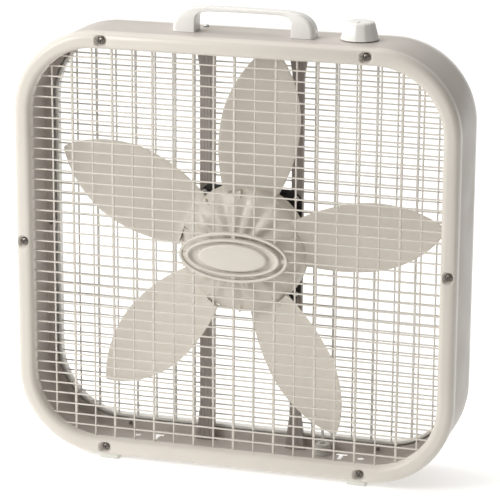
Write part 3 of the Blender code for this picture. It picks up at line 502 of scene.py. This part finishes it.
def grille_columns(bm, side, badge):
    for i in range(COLUMN_COUNT):
        index = i - (COLUMN_COUNT - 1) // 2
        size = THICK_COLUMN if index % 2 == 0 else THIN_COLUMN
        section, offset = bar_section(*size), index * COLUMN_PITCH
        reach = half_span(offset, HALF_H, HALF_W)
        y = side * (BAR_Y - size[1] / 2 + COLUMN_SINK)
        for start, end in bar_stretches(offset, reach, RING_HALF[0], RING_HALF[1], badge):
            straight_bar(bm, section, CENTRE_Z + start, CENTRE_Z + end, offset, y, False)


def ellipse(x, z, half_x, half_z, steps):
    angles = [math.tau * i / steps for i in range(steps)]
    return [(x + half_x * math.cos(a), z + half_z * math.sin(a)) for a in angles]


def badge_oval(bm, half_x, half_z, y):
    return loop_at(bm, ellipse(0, CENTRE_Z, half_x, half_z, 96), y)


def badge_ring(bm, side):
    back, front = 0.0405, 0.0463
    section = rounded([(0, back, 0.0006), (0, front, 0.0012), (RING_WALL, front, 0.0012),
                       (RING_WALL, back, 0.0006)], 4)
    skin(bm, [badge_oval(bm, RING_HALF[0] - inset, RING_HALF[1] - inset, side * y)
              for inset, y in section])


def pocket_outline(x, z, growth):
    """A screw pocket's rounded rectangle, longer along the border it lies in."""
    along, across = (half + growth for half in POCKET_HALF)
    if abs(x) > abs(z - CENTRE_Z):
        along, across = across, along
    return rectangle(x - along, x + along, z - across, z + across, 0.0030 + growth, 5)


def grille_shell(name, side, node, mat, badge=False, edge=0.0):
    """A moulded border with its grille; the outline lies `edge` inside the body's."""
    channel_y = CROWN_Y - CHANNEL_DEPTH
    boss_radius = 0.0058
    section = rounded([(edge, SEAM_Y, 0.0004), (edge, CROWN_Y, 0.0105 - edge),
                       (BEZEL_WIDTH, CROWN_Y, 0.0070), (BEZEL_WIDTH, SEAM_Y, 0.0008),
                       (0.0162, SEAM_Y, 0.0005), (0.0160, channel_y, 0.0020),
                       (edge + 0.0030, channel_y, 0.0020), (edge + 0.0026, SEAM_Y, 0.0005)], 7)
    bm = bmesh.new()
    sweep_round(bm, [(inset, side * y) for inset, y in section])
    shell = add_piece(name, bm, mat)
    extras = bmesh.new()
    for x, z in screw_places():
        rod(extras, boss_radius, side * SEAM_Y, side * (channel_y + 0.001), (x, 0, z))
    combine(shell, "UNION", extras)
    cuts = bmesh.new()
    levels = ((0.0, POCKET_FLOOR_Y), (0.3 * POCKET_SLOPE, POCKET_FLOOR_Y + 0.0030),
              (POCKET_SLOPE, CROWN_Y + 0.0005))
    for x, z in screw_places():
        loft(cuts, [loop_at(cuts, pocket_outline(x, z, growth), side * y)
                    for growth, y in levels])
    combine(shell, "DIFFERENCE", cuts)
    holes = bmesh.new()
    screw_holes(holes, screw_places(), side * (SEAM_Y - 0.001), side * (POCKET_FLOOR_Y + 0.001))
    combine(shell, "DIFFERENCE", holes)
    bevelled(shell, 0.0005, 2, 50.0)
    columns = bmesh.new()
    grille_columns(columns, side, badge)
    if badge:
        badge_ring(columns, side)
    combine(shell, "UNION", columns)
    rows = bmesh.new()
    grille_rows(rows, side, badge)
    combine(shell, "UNION", rows)
    install(shell, "shell_plastic", node)


def foot_pads(side, label):
    for name, sign in (("left", -1), ("right", 1)):
        bm = bmesh.new()
        x = sign * PAD_X
        low, high = sorted((side * (SEAM_Y + 0.0002), side * PAD_END_Y))
        prism(bm, rectangle(x - PAD_WIDTH / 2, x + PAD_WIDTH / 2, low, high, 0.0025, 5),
              0.0, PAD_DROP + 0.0015, "Z")
        pad = add_piece(f"foot_pad_{label}_{name}", bm, PAD)
        bevelled(pad, 0.0008, 3)
        install(pad, "shell_plastic")


def badge_plate():
    """Dished oval: a rolled rim, a groove, and a plain raised middle."""
    rings = [(BADGE_HALF[0] - inset_x, BADGE_HALF[1] - inset_z, y) for inset_x, inset_z, y in (
        (0.0, 0.0, -0.0412), (0.0, 0.0, -0.0452), (0.0006, 0.0006, -0.0476),
        (0.0020, 0.0018, -0.0484), (0.0036, 0.0030, -0.0478), (0.0046, 0.0036, -0.0456),
        (0.0058, 0.0042, -0.0438), (0.0080, 0.0048, -0.0431), (0.0120, 0.0052, -0.0431),
        (0.0142, 0.0058, -0.0438), (0.0152, 0.0064, -0.0466), (0.0164, 0.0072, -0.0484),
        (0.0190, 0.0086, -0.0491), (0.0300, 0.0130, -0.0495), (0.0530, 0.0210, -0.0497))]
    bm = bmesh.new()
    loft(bm, [badge_oval(bm, *ring) for ring in curve_through(rings, 3)])
    plate = add_piece("badge_disc", bm, SHELL, 50.0)
    bridges = bmesh.new()
    start_x, start_z = 0.0550, 0.0210      # just inside the plate's rim
    end_x, end_z = RING_HALF[0] - RING_WALL, RING_HALF[1] - RING_WALL
    side_half, upright_half = 0.0020, 0.0022
    front, back = -0.0442, -0.0416
    for sign in (-1, 1):
        low, high = sorted((sign * start_x, sign * end_x))
        prism(bridges, rectangle(low, high, CENTRE_Z - side_half, CENTRE_Z + side_half, 0.0003),
              front, back)
        low, high = sorted((sign * start_z, sign * end_z))
        prism(bridges, rectangle(-upright_half, upright_half, CENTRE_Z + low, CENTRE_Z + high,
                                 0.0003), front, back)
    combine(plate, "UNION", bridges, 50.0)
    install(plate, "shell_plastic", "badge_plate")


# --- housing band
def housing_band():
    """Sheet band with inturned flanges; its floor has the slots and holes for loose feet."""
    wall, back = BAND_INSET + SHEET, FLANGE_Y - SHEET
    bend, burr = 0.0022, 0.0003
    section = rounded([(BAND_INSET, FLANGE_Y, bend), (FLANGE_INSET, FLANGE_Y, burr),
                       (FLANGE_INSET, back, burr), (wall, back, bend - SHEET),
                       (wall, -back, bend - SHEET), (FLANGE_INSET, -back, burr),
                       (FLANGE_INSET, -FLANGE_Y, burr), (BAND_INSET, -FLANGE_Y, bend)], 5)
    bm = bmesh.new()
    sweep_round(bm, section)
    band = add_piece("steel_band", bm, BAND)
    cuts = bmesh.new()
    for side in (-1, 1):
        screw_holes(cuts, screw_places(), side * 0.038, side * 0.041)
    low, high = BAND_FLOOR - 0.001, BAND_FLOOR + 0.002
    slot_x, oval_x, slot_y = 0.116, 0.141, 0.019
    stem, bar = 0.0025, 0.0070             # half widths of the T
    near, step, far = -0.0100, 0.0040, 0.0100
    oval_half = (0.0045, 0.0042)
    tee = [(-stem, near, 0.0010), (stem, near, 0.0010), (stem, step, 0.0004),
           (bar, step, 0.0010), (bar, far, 0.0010), (-bar, far, 0.0010),
           (-bar, step, 0.0010), (-stem, step, 0.0004)]
    for sign in (-1, 1):
        prism(cuts, [(sign * slot_x + x, slot_y + y) for x, y in rounded(tee, 3)], low, high, "Z")
        prism(cuts, ellipse(sign * oval_x, slot_y, *oval_half, 32), low, high, "Z")
    gland_hole, bushing_hole = 0.0083, 0.0050
    rod(cuts, gland_hole, low, high, plan_centre("cord_gland"), "Z")
    rod(cuts, bushing_hole, BAND_TOP - 0.002, BAND_TOP + 0.001, plan_centre("speed_knob"), "Z")
    combine(band, "DIFFERENCE", cuts)
    install(band, "band_paint", "housing_band")


# --- handle and knob
def carry_handle():
    """Arch of rounded sections run foot to foot: broad feet, a slim strap over the top."""
    low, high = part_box("handle")
    base, top = low.z, high.z - low.z
    foot_length, inner_edge = 0.0275, 0.0016
    outer, inner = high.x, high.x - foot_length
    # outer x and height, inner x and height, half depth, rounding of the outer edges
    right = [(outer, 0.0, inner, 0.0, high.y, 0.0058),
             (outer - 0.0004, 0.0085, inner, 0.0085, 0.0117, 0.0056),
             (outer - 0.0035, 0.0160, inner - 0.0002, 0.0155, 0.0110, 0.0050),
             (outer - 0.0085, 0.0215, inner - 0.0014, 0.0195, 0.0102, 0.0042),
             (outer - 0.0160, 0.0258, inner - 0.0050, 0.0224, 0.0092, 0.0032),
             (outer - 0.0250, 0.0280, inner - 0.0110, 0.0238, 0.0083, 0.0026),
             (outer - 0.0370, 0.0291, inner - 0.0180, 0.0244, 0.0078, 0.0024),
             (0.0200, top, 0.0200, top - 0.0050, 0.0076, 0.0024)]
    left = [(-xo, zo, -xi, zi, half, edge) for xo, zo, xi, zi, half, edge in reversed(right)]
    bm = bmesh.new()
    loops = []
    for xo, zo, xi, zi, half, edge in curve_through(right + left, 6):
        thick = math.hypot(xo - xi, zo - zi)
        section = rounded([(0, -half, inner_edge), (thick, -half, edge), (thick, half, edge),
                           (0, half, inner_edge)], 6)
        loops.append([bm.verts.new((xi + (xo - xi) * t / thick, y,
                                    base + zi + (zo - zi) * t / thick)) for t, y in section])
    loft(bm, loops)
    handle = add_piece("carry_handle", bm, WHITE, 50.0)
    install(handle, "white_plastic", "handle")


def speed_dial():
    """Tapered dial with faint flats, a soft shoulder and a raised pointer."""
    low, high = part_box("speed_knob")
    centre = plan_centre("speed_knob")
    gap, height = 0.0004, 0.0215           # under the rim, and up to the top
    base, top = low.z + gap, BAND_TOP + height
    foot, crown = (high.x - low.x) / 2, 0.0170
    flats, flatness = 12, 0.6

    def faceted(radius, along, angle):
        half_turn = math.pi / flats
        local = (angle % (2 * half_turn)) - half_turn
        flat = math.cos(half_turn) / math.cos(local)
        strength = flatness * min(radius / (crown * 0.93), 1.0) ** 8
        return radius * (1 + (flat - 1) * strength), along

    side = [(foot, base), (foot, base + 0.0010), (foot - 0.0005, base + 0.0016),
            (crown + 0.0012, top - 0.0040), (crown + 0.0006, top - 0.0022),
            (crown - 0.0004, top - 0.0010), (crown - 0.0018, top - 0.0003),
            (crown - 0.0040, top), (0.0060, top + 0.0001), (0, top + 0.0001)]
    bore, recess = 0.0034, 0.0100          # radii for the switch shaft and for its nut
    under = [(0, BAND_TOP + 0.0155), (bore, BAND_TOP + 0.0155), (bore, BAND_TOP + 0.0056),
             (recess, BAND_TOP + 0.0048), (recess, base + 0.0002), (foot - 0.0010, base)]
    bm = bmesh.new()
    turned(bm, under + side, centre, "Z", 112, faceted)
    dial = add_piece("speed_dial", bm, WHITE, 30.0)
    pointer = bmesh.new()
    prism(pointer, rectangle(centre[0] - 0.0011, centre[0] + 0.0011,
                             centre[1] - crown + 0.0025, centre[1] - 0.0030, 0.0010, 5),
          top - 0.0020, top + 0.0006, "Z")
    combine(dial, "UNION", pointer, 30.0)
    install(dial, "white_plastic", "speed_knob", body="knob")


# --- rotor
def half_chord(radius):
    root_narrowing, tip_power = 0.33, 0.85
    if radius < WIDEST_RADIUS:
        inward = (WIDEST_RADIUS - radius) / (WIDEST_RADIUS - HUB_RADIUS)
        return BLADE_HALF_CHORD * (1 - root_narrowing * inward ** 2)
    outward = (radius - WIDEST_RADIUS) / (ROTOR_RADIUS - WIDEST_RADIUS)
    return BLADE_HALF_CHORD * max(1 - outward ** 2, 0) ** tip_power


def blade(bm, axis_angle):
    """Cambered, twisted petal with a rounded rim and a thicker root."""
    stations, across = 36, 14
    root, tip = HUB_RADIUS - 0.0020, ROTOR_RADIUS - 0.0004
    root_slope, slope_loss, camber_height = 0.42, 0.24, 0.0040
    swell, swell_reach = 0.0030, 0.0060    # of the thicker root
    sheets = []
    for layer in (-1, 1):
        grid = []
        for i in range(stations):
            radius = root + (tip - root) * math.sin(math.pi / 2 * i / (stations - 1))
            chord = half_chord(radius)
            spread = math.asin(min(chord / radius, 0.95))
            slope = root_slope - slope_loss * (radius - root) / (ROTOR_RADIUS - root)
            root_swell = swell * math.exp(-((radius - root) / swell_reach))
            row = []
            for j in range(across + 1):
                place = math.sin(math.pi / 2 * (-1 + 2 * j / across))
                rim = math.sqrt(max(1 - abs(place) ** 10, 0.02))
                thick = BLADE_THICKNESS * rim / 2 + root_swell
                angle = axis_angle + place * spread
                camber = camber_height * (1 - place ** 2) * chord / BLADE_HALF_CHORD
                y = ROTOR_Y - place * chord * slope + camber + layer * thick
                row.append(bm.verts.new((radius * math.cos(angle), y,
                                         CENTRE_Z + radius * math.sin(angle))))
            grid.append(row)
        sheets.append(grid)
        for i in range(stations - 1):
            for j in range(across):
                bm.faces.new((grid[i][j], grid[i + 1][j], grid[i + 1][j + 1], grid[i][j + 1]))
    front, rear = sheets

    def rim_of(grid):
        return (grid[0] + [r[-1] for r in grid[1:]] + grid[-1][-2::-1]
                + [r[0] for r in grid[-2:0:-1]])
    skin(bm, [rim_of(front), rim_of(rear)], around=False)


def fan_rotor():
    """Fluted dome of a hub with five blades, and ribs inside it."""
    flutes, flute_depth = 15, 0.0038
    flute_start, flute_end = 0.024, 0.0745

    def fluted(radius, along, angle):
        """Broad shallow flutes on the dome, deepest half way between their ends."""
        if along > -0.006 or radius < flute_start or radius > flute_end:
            return radius, along
        swell = math.sin(math.pi * (radius - flute_start) / (flute_end - flute_start)) ** 0.6
        return radius, along + flute_depth * swell * (0.5 - 0.5 * math.cos(flutes * angle))

    outside = curve_through([(0.0043, -0.0330), (0.0150, -0.0328), (0.0330, -0.0305),
                             (0.0520, -0.0255), (0.0670, -0.0180), (0.0740, -0.0110),
                             (HUB_RADIUS, -0.0040)], 7)
    lip = [(HUB_RADIUS, 0.0080), (HUB_RADIUS + 0.0008, 0.0088), (HUB_RADIUS + 0.0008, 0.0100)]
    inside = [(HUB_RADIUS - 0.0035, 0.0100), (HUB_RADIUS - 0.0035, -0.0040), (0.0620, -0.0145),
              (0.0400, -0.0240), (0.0110, -0.0290), (0.0100, -0.0215), (0.0043, -0.0215)]
    bm = bmesh.new()
    turned(bm, outside + lip + inside, FAN_AXIS, segments=180, radius_of=fluted)
    rotor = add_piece("fan_rotor", bm, BLADE)
    blades = bmesh.new()
    for k in range(BLADES):
        blade(blades, math.radians(FIRST_BLADE + 360 / BLADES * k))
    combine(rotor, "UNION", blades, 40.0)
    ribs = bmesh.new()
    rib_count, inner, outer, rib_half = 10, 0.0530, 0.0735, 0.0008
    for k in range(rib_count):
        spoke(ribs, rectangle(inner, outer, -rib_half, rib_half, 0), -0.0185, 0.0060,
              360 / rib_count * (k + 0.5))
    combine(rotor, "UNION", ribs, 40.0)
    install(rotor, "blade_plastic", "fan_blade", body="rotor")


# --- motor, plate and struts
def bolt_places():
    reach = BOLT_CIRCLE / math.sqrt(2)
    return [(x * reach, CENTRE_Z + z * reach) for x, z in ((-1, -1), (1, -1), (1, 1), (-1, 1))]


def plate_screw_places(x):
    return [(x, CENTRE_Z + z) for z in (-PLATE_SCREW_Z, PLATE_SCREW_Z)]


def end_bell(name, side, node):
    """Drawn cup with cooling slots round its face and a rolled bearing collar."""
    low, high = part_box(node)
    rim_y, face_y = (high.y, low.y) if side < 0 else (low.y, high.y)
    wall, groove, collar_depth = 0.0018, 0.0008, 0.0065

    def inward(depth):
        return face_y - side * depth

    profile = curve_through([(MOTOR_RADIUS, rim_y), (MOTOR_RADIUS, inward(0.0055)),
                             (MOTOR_RADIUS - 0.0006, inward(0.0028)),
                             (MOTOR_RADIUS - 0.0028, inward(0.0007)),
                             (MOTOR_RADIUS - 0.0055, face_y)], 4)
    profile += [(0.0150, face_y), (0.0135, inward(groove)), (0.0110, inward(groove)),
                (0.0100, face_y), (0.0086, face_y), (0.0085, inward(collar_depth)),
                (0.0105, inward(collar_depth)), (0.0105, inward(wall + groove)),
                (0.0145, inward(wall + groove)), (0.0155, inward(wall)),
                (MOTOR_RADIUS - 0.0060, inward(wall)), (MOTOR_RADIUS - wall, inward(0.006)),
                (MOTOR_RADIUS - wall, rim_y)]
    bm = bmesh.new()
    turned(bm, profile, FAN_AXIS, segments=96)
    bell = add_piece(name, bm, BLACK_PAINT)
    cuts = bmesh.new()
    screw_holes(cuts, bolt_places(), face_y - 0.005, face_y + 0.005)
    slots, inner, outer, slot_half = 8, 0.0190, 0.0320, 0.0026
    for k in range(slots):
        spoke(cuts, rectangle(inner, outer, -slot_half, slot_half, slot_half, 6),
              face_y - 0.004, face_y + 0.002, 360 / slots * k)
    combine(bell, "DIFFERENCE", cuts)
    install(bell, "black_paint", node)


def stator_core():
    """Laminated ring with eight poles."""
    poles, inner, yoke = 8, 0.0226, 0.0330

    def ring(stations):
        polar = [(r, math.tau * (k + share) / poles) for k in range(poles) for r, share in stations]
        return [(r * math.cos(angle), CENTRE_Z + r * math.sin(angle)) for r, angle in polar]

    pole = [(inner, 0.15 + 0.70 * i / 7) for i in range(8)]
    back = [(yoke, 0.88 + 0.24 * i / 3) for i in range(4)]
    inside = ring(pole + back)
    outside = ring([(MOTOR_RADIUS, share) for _, share in pole + back])
    bm = bmesh.new()
    low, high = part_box("stator_stack")
    front, rear = low.y, high.y
    corners = ((inside, front), (outside, front), (outside, rear), (inside, rear))
    skin(bm, [loop_at(bm, points, y) for points, y in corners])
    core = add_piece("stator_core", bm, LAMINATION, 30.0)
    cuts = bmesh.new()
    screw_holes(cuts, bolt_places(), front - 0.001, rear + 0.001)
    combine(core, "DIFFERENCE", cuts, 30.0)
    install(core, "lamination_steel", "stator_stack")


def motor_mount():
    """Flat steel plate with clipped corners, two long slots and its holes."""
    low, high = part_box("motor_plate")
    w, h = high.x, high.z - CENTRE_Z
    cut, corner, hub_hole = 0.010, 0.0025, 0.0180
    through = (0.020, 0.030)               # y range of its cuts
    slot_half_x, slot_half_z, slot_z = 0.0300, 0.0022, 0.0560
    right = [(w - cut, -h), (w, cut - h), (w, h - cut), (w - cut, h)]
    corners = right + [(-x, -z) for x, z in right]
    bm = bmesh.new()
    prism(bm, [(x, CENTRE_Z + z) for x, z in rounded([(a, b, corner) for a, b in corners], 4)],
          low.y, high.y)
    plate = add_piece("motor_mount", bm, BLACK_PAINT)
    cuts = bmesh.new()
    rod(cuts, hub_hole, *through, FAN_AXIS, segments=64)
    screw_holes(cuts, bolt_places(), *through)
    screw_holes(cuts, plate_screw_places(-STRUT_X) + plate_screw_places(STRUT_X), *through)
    for sign in (-1, 1):
        middle = CENTRE_Z + sign * slot_z
        prism(cuts, rectangle(-slot_half_x, slot_half_x, middle - slot_half_z,
                              middle + slot_half_z, slot_half_z, 6), *through)
    combine(plate, "DIFFERENCE", cuts)
    bevelled(plate, 0.0003, 2, 60.0)
    install(plate, "black_paint", "motor_plate")


def strut_channel(name, x, node):
    """Pressed channel, open to the rear, whose face grooves fan out with its flared ends."""
    low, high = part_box(node)
    front, rear, sheet = low.y, high.y, SHEET
    groove = [(-0.0010, 0.0), (-0.0004, 0.0005), (0.0004, 0.0005), (0.0010, 0.0)]
    groove_places = (-0.52, 0.0, 0.52)     # as shares of the half width
    bend, burr, ease = 0.0014, 0.0002, 0.0020
    foot_end, head_start = low.z + STRUT_FOOT[1], high.z - STRUT_HEAD[1]
    stations = [(low.z, STRUT_FOOT[0]), (foot_end - ease, STRUT_WIDTH + 0.0007),
                (foot_end + ease, STRUT_WIDTH), (head_start - ease, STRUT_WIDTH),
                (head_start + ease, STRUT_WIDTH + 0.0008), (high.z, STRUT_HEAD[0])]
    bm = bmesh.new()
    loops = []
    for z, width in stations:
        half = width / 2
        face = [(-half, front, bend)]
        for place in groove_places:
            face += [(half * place + across, front + depth, 0.0003) for across, depth in groove]
        face.append((half, front, bend))
        section = [(-half, rear, burr)] + face + [(half, rear, burr)]
        section += [(half - sheet, rear, burr), (half - sheet, front + sheet + 0.0006, 0.0006),
                    (-half + sheet, front + sheet + 0.0006, 0.0006), (-half + sheet, rear, burr)]
        loops.append([bm.verts.new((x + a, y, z)) for a, y in rounded(section, 3)])
    loft(bm, loops)
    channel = add_piece(name, bm, STRUT, 30.0)
    tabs = bmesh.new()
    for z, width in ((low.z, STRUT_FOOT[0]), (high.z - sheet, STRUT_HEAD[0])):
        half = (width - sheet) / 2
        prism(tabs, rectangle(x - half, x + half, front + sheet / 2, rear, 0.0006),
              z, z + sheet, "Z")
    combine(channel, "UNION", tabs, 30.0)
    cuts = bmesh.new()
    middle = (front + rear) / 2
    for z in (low.z, high.z - sheet):
        rod(cuts, CLEARANCE, z - 0.001, z + sheet + 0.001, (x, middle, 0), "Z")
    screw_holes(cuts, plate_screw_places(x), front - 0.001, front + 0.004)
    combine(channel, "DIFFERENCE", cuts, 30.0)
    install(channel, "strut_paint", node)


# --- screws
def screw_mesh(name, head, length, mat):
    """Pan-head screw with a cross recess: head towards -Y, its underside at y = 0."""
    height = HEAD_HEIGHT
    dome = [(0, -height)] + [(head * math.sin(a), -height * (0.25 + 0.75 * math.cos(a)))
                             for a in [math.radians(15 * i) for i in range(1, 7)]]
    root, pitch, y = SHANK * 0.8, 0.0011, 0.0020
    thread = [(root, 0.0006)]
    while y < length - 0.0025:
        thread += [(root, y), (SHANK, y + pitch * 0.35), (SHANK, y + pitch * 0.5),
                   (root, y + pitch * 0.85)]
        y += pitch
    neck, point = [(head, 0), (SHANK * 0.95, 0)], [(SHANK * 0.5, length - 0.001), (0, length)]
    bm = bmesh.new()
    turned(bm, dome + neck + thread + point, (0, 0, 0), segments=28)
    screw = add_piece(name, bm, mat, 40.0)
    size = head * 0.62                     # half length of the cross's arms
    depth = size * 0.62
    for quarter in (0, 1):
        cutter = bmesh.new()
        loops = []
        for y, half_long, half_wide in ((-height - 0.0004, size, size * 0.25),
                                        (-height + depth, size * 0.42, size * 0.15)):
            corners = rectangle(-half_long, half_long, -half_wide, half_wide, 0)
            if quarter:
                corners = [(-b, a) for a, b in corners]
            loops.append(loop_at(cutter, corners, y))
        loft(cutter, loops)
        combine(screw, "DIFFERENCE", cutter, 40.0)
    mesh = screw.data
    bpy.data.objects.remove(screw)
    return mesh


def place_screws(nodes, head, length, direction, mat, slot, spin=20.0):
    """One screw per node, heads looking along direction, each cross turned further."""
    mesh = screw_mesh(f"{slot}_screw_mesh_{len(nodes)}_{direction}", head, length, mat)
    facing = Vector((0, -1, 0)).rotation_difference(Vector(direction)).to_matrix().to_4x4()
    axis = max(range(3), key=lambda i: abs(direction[i]))
    for number, node in enumerate(nodes):
        low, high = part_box(node)
        under = (low + high) / 2
        tip = high[axis] if direction[axis] > 0 else low[axis]
        under[axis] = tip - direction[axis] * HEAD_HEIGHT
        obj = linked(f"{node}_detail", mesh)
        turn = Matrix.Rotation(math.radians(spin + 37 * number), 4, "Y")
        obj.matrix_world = Matrix.Translation(under) @ facing @ turn
        install(obj, slot, node)


def fasteners():
    forward, rearward, up, down = (0, -1, 0), (0, 1, 0), (0, 0, 1), (0, 0, -1)
    case = ("upper_left", "upper_right", "left", "right", "lower_left", "lower_right")
    plate = ("lower_left", "lower_right", "upper_left", "upper_right")
    pair = ("left", "right")
    dark, zinc = (DARK_STEEL, "dark_steel"), (ZINC, "zinc_plate")
    sets = (("front_screw", case, LARGE_HEAD, 0.016, forward, *dark, 25.0),
            ("rear_screw", case, LARGE_HEAD, 0.016, rearward, *dark, 10.0),
            ("plate_screw", plate, SMALL_HEAD, 0.0065, forward, *zinc),
            ("strut_screw_upper", pair, SMALL_HEAD, 0.008, up, *zinc),
            ("strut_screw_lower", pair, SMALL_HEAD, 0.008, down, *zinc),
            ("handle_screw", pair, LARGE_HEAD, 0.012, down, *zinc),
            ("motor_bolt", (1, 2, 3, 4), SMALL_HEAD, 0.046, forward, *zinc))
    for stem, ends, *details in sets:
        place_screws([f"{stem}_{end}" for end in ends], *details)


# --- switch, gland, kept nodes
def switch_case():
    """Switch box under the band's top, with its threaded bushing and five terminals."""
    low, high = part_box("switch_body")
    top = BAND_TOP - SHEET - 0.0003
    bushing, bushing_top, bore_radius = 0.0046, BAND_TOP + 0.0038, 0.0033
    bm = bmesh.new()
    prism(bm, rectangle(low.x, high.x, low.y, high.y, 0.0020, 5), low.z, top, "Z")
    case = add_piece("switch_case", bm, BLACK_PLASTIC)
    bevelled(case, 0.0006, 2)
    centre = plan_centre("switch_body")
    extras = bmesh.new()
    thread = [(bushing - 0.0003 * (i % 2), top + 0.0006 + 0.00045 * i) for i in range(10)]
    turned(extras, [(0, top - 0.002), (bushing, top - 0.002)] + thread
           + [(0.0040, bushing_top), (0, bushing_top)], centre, "Z", 40)
    terminal_half, terminal_pitch = 0.0004, 0.0045
    for i in range(5):
        x = low.x + 0.006 + terminal_pitch * i
        prism(extras, rectangle(x - terminal_half, x + terminal_half, high.y - 0.008,
                                high.y - 0.003, 0.0001), low.z - 0.004, low.z + 0.002, "Z")
    combine(case, "UNION", extras)
    bore = bmesh.new()
    rod(bore, bore_radius, top - 0.012, BAND_TOP + 0.006, centre, "Z")
    combine(case, "DIFFERENCE", bore)
    install(case, "black_plastic", "switch_body")


def gland():
    """Ribbed bushing that grips the supply lead in the band's floor."""
    low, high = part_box("cord_gland")
    under, over = BAND_FLOOR - 0.0003, BAND_FLOOR + SHEET + 0.0003
    foot, top = low.z, high.z
    bore, neck, ribs, taper = 0.0036, 0.0080, 3, 0.0004
    start, span = BAND_FLOOR + SHEET + 0.0015, top - (BAND_FLOOR + SHEET) - 0.0045
    step = span / ribs
    side = []
    for i in range(ribs):
        z = start + span * i / ribs
        crest, root = 0.0104 - taper * i, 0.0094 - taper * i
        side += [(crest, z), (crest, z + step * 0.6), (root, z + step * 0.7),
                 (root, z + step * 0.92)]
    profile = [(bore, foot), (0.0108, foot), (0.0117, foot + 0.0008), (0.0118, under),
               (neck, under), (neck, over), (0.0104, over)] + side
    profile += [(0.0088, top - 0.0010), (0.0078, top - 0.0002), (0.0068, top), (bore, top)]
    bm = bmesh.new()
    turned(bm, profile, plan_centre("cord_gland"), "Z", 56)
    piece = add_piece("gland_bushing", bm, GLAND, 30.0)
    install(piece, "gland_plastic", "cord_gland")


def repaint_kept_nodes():
    finishes = {
        STEEL: ("motor_shaft", "hub_clip"),
        LAMINATION: ("motor_rotor",),
        COPPER: ("winding_front", "winding_rear"),
        BRONZE: ("bearing_front", "bearing_rear"),
        ZINC: ("switch_nut", "switch_shaft", *(f"motor_nut_{n}" for n in (1, 2, 3, 4))),
        JACKET: ("supply_lead", "motor_lead"),
    }
    for mat, names in finishes.items():
        for name in names:
            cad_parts[name].material_slots[0].material = mat


# --- floor, light and camera
def white_floor():
    """Large sheet whose glow rises from the fan backwards, so that it is white behind it."""
    bm = bmesh.new()
    bmesh.ops.create_grid(bm, x_segments=2, y_segments=2, size=9.0)
    colour, shift = (0.92, 0.92, 0.915), 3.0
    floor_mat, tree, shader, coords = new_material("floor_paper", colour, 0.75)
    mottled(tree, shader, colour, coords, 1.5, 0.99, 1.01, 3.0)
    shader.inputs["Emission Color"].default_value = (1.0, 1.0, 0.995, 1)
    along = add_node(tree, "ShaderNodeSeparateXYZ", {"Vector": coords}).outputs["Y"]
    glow = add_node(tree, "ShaderNodeMapRange", {"Value": along}, From_Min=-0.5 - shift,
                    From_Max=-shift, To_Min=0.06, To_Max=0.45)
    tree.links.new(glow.outputs["Result"], shader.inputs["Emission Strength"])
    floor = add_piece("floor", bm, floor_mat)
    floor.location = (0, shift, 0)


def studio_world():
    """Even light that is strongest from the left and above, and fades to none opposite."""
    world = bpy.data.worlds.new("studio")
    bpy.context.scene.world = world
    world.use_nodes = True
    tree = world.node_tree
    background = tree.nodes["Background"]
    direction = add_node(tree, "ShaderNodeTexCoord").outputs["Generated"]
    side = add_node(tree, "ShaderNodeVectorMath", {"Vector": direction}, operation="DOT_PRODUCT")
    side.inputs[1].default_value = (-0.85, 0.28, 0.45)
    strength = add_node(tree, "ShaderNodeMapRange", {"Value": side.outputs["Value"]},
                        From_Min=-0.6, To_Max=1.2)
    tree.links.new(strength.outputs["Result"], background.inputs["Strength"])
    background.inputs["Color"].default_value = (1.0, 0.98, 0.95, 1)


def looking(place, aim):
    return (Vector(aim) - Vector(place)).to_track_quat("-Z", "Y")


def softbox(name, place, size, power, aim=FAN_AXIS, colour=(1, 0.985, 0.96)):
    light = bpy.data.lights.new(name, "AREA")
    light.shape = "RECTANGLE"
    light.size, light.size_y = size
    light.energy = power
    light.color = colour
    obj = linked(name, light)
    obj.location = place
    obj.rotation_euler = looking(place, aim).to_euler()


def camera():
    """Long lens, a little above the fan and to its right."""
    place, aim, roll = (0.8228, -2.7181, 1.0502), (0.0072, 0, 0.2600), math.radians(0.30)
    data = bpy.data.cameras.new("camera")
    data.lens = 180.3
    data.clip_start, data.clip_end = 0.05, 60
    obj = linked("camera", data)
    obj.location = place
    obj.rotation_mode = "QUATERNION"
    obj.rotation_quaternion = looking(place, aim) @ Matrix.Rotation(roll, 3, "Z").to_quaternion()
    bpy.context.scene.camera = obj


def studio():
    white_floor()
    studio_world()
    softbox("key_light", (-1.0, -1.05, 1.0), (0.6, 0.6), 12, (-0.1, 0, 0.50), (1, 1, 0.99))
    softbox("front_light", (-0.6, -2.6, 1.5), (1.4, 1.0), 3)
    softbox("top_light", (-0.7, 0.2, 2.1), (1.8, 1.8), 12)
    camera()
    bpy.context.scene.view_settings.view_transform = "Standard"


def build():
    grille_shell("front_grille", -1, "front_shell", SHELL, badge=True)
    grille_shell("rear_grille", 1, "rear_shell", BACKLIT_REAR_SHELL, edge=REAR_INSET)
    foot_pads(-1, "front")
    foot_pads(1, "rear")
    badge_plate()
    housing_band()
    carry_handle()
    speed_dial()
    fan_rotor()
    end_bell("motor_bell_front", -1, "motor_front_bell")
    end_bell("motor_bell_rear", 1, "motor_rear_bell")
    stator_core()
    motor_mount()
    strut_channel("strut_channel_left", -STRUT_X, "strut_left")
    strut_channel("strut_channel_right", STRUT_X, "strut_right")
    fasteners()
    switch_case()
    gland()
    repaint_kept_nodes()
    studio()


build()
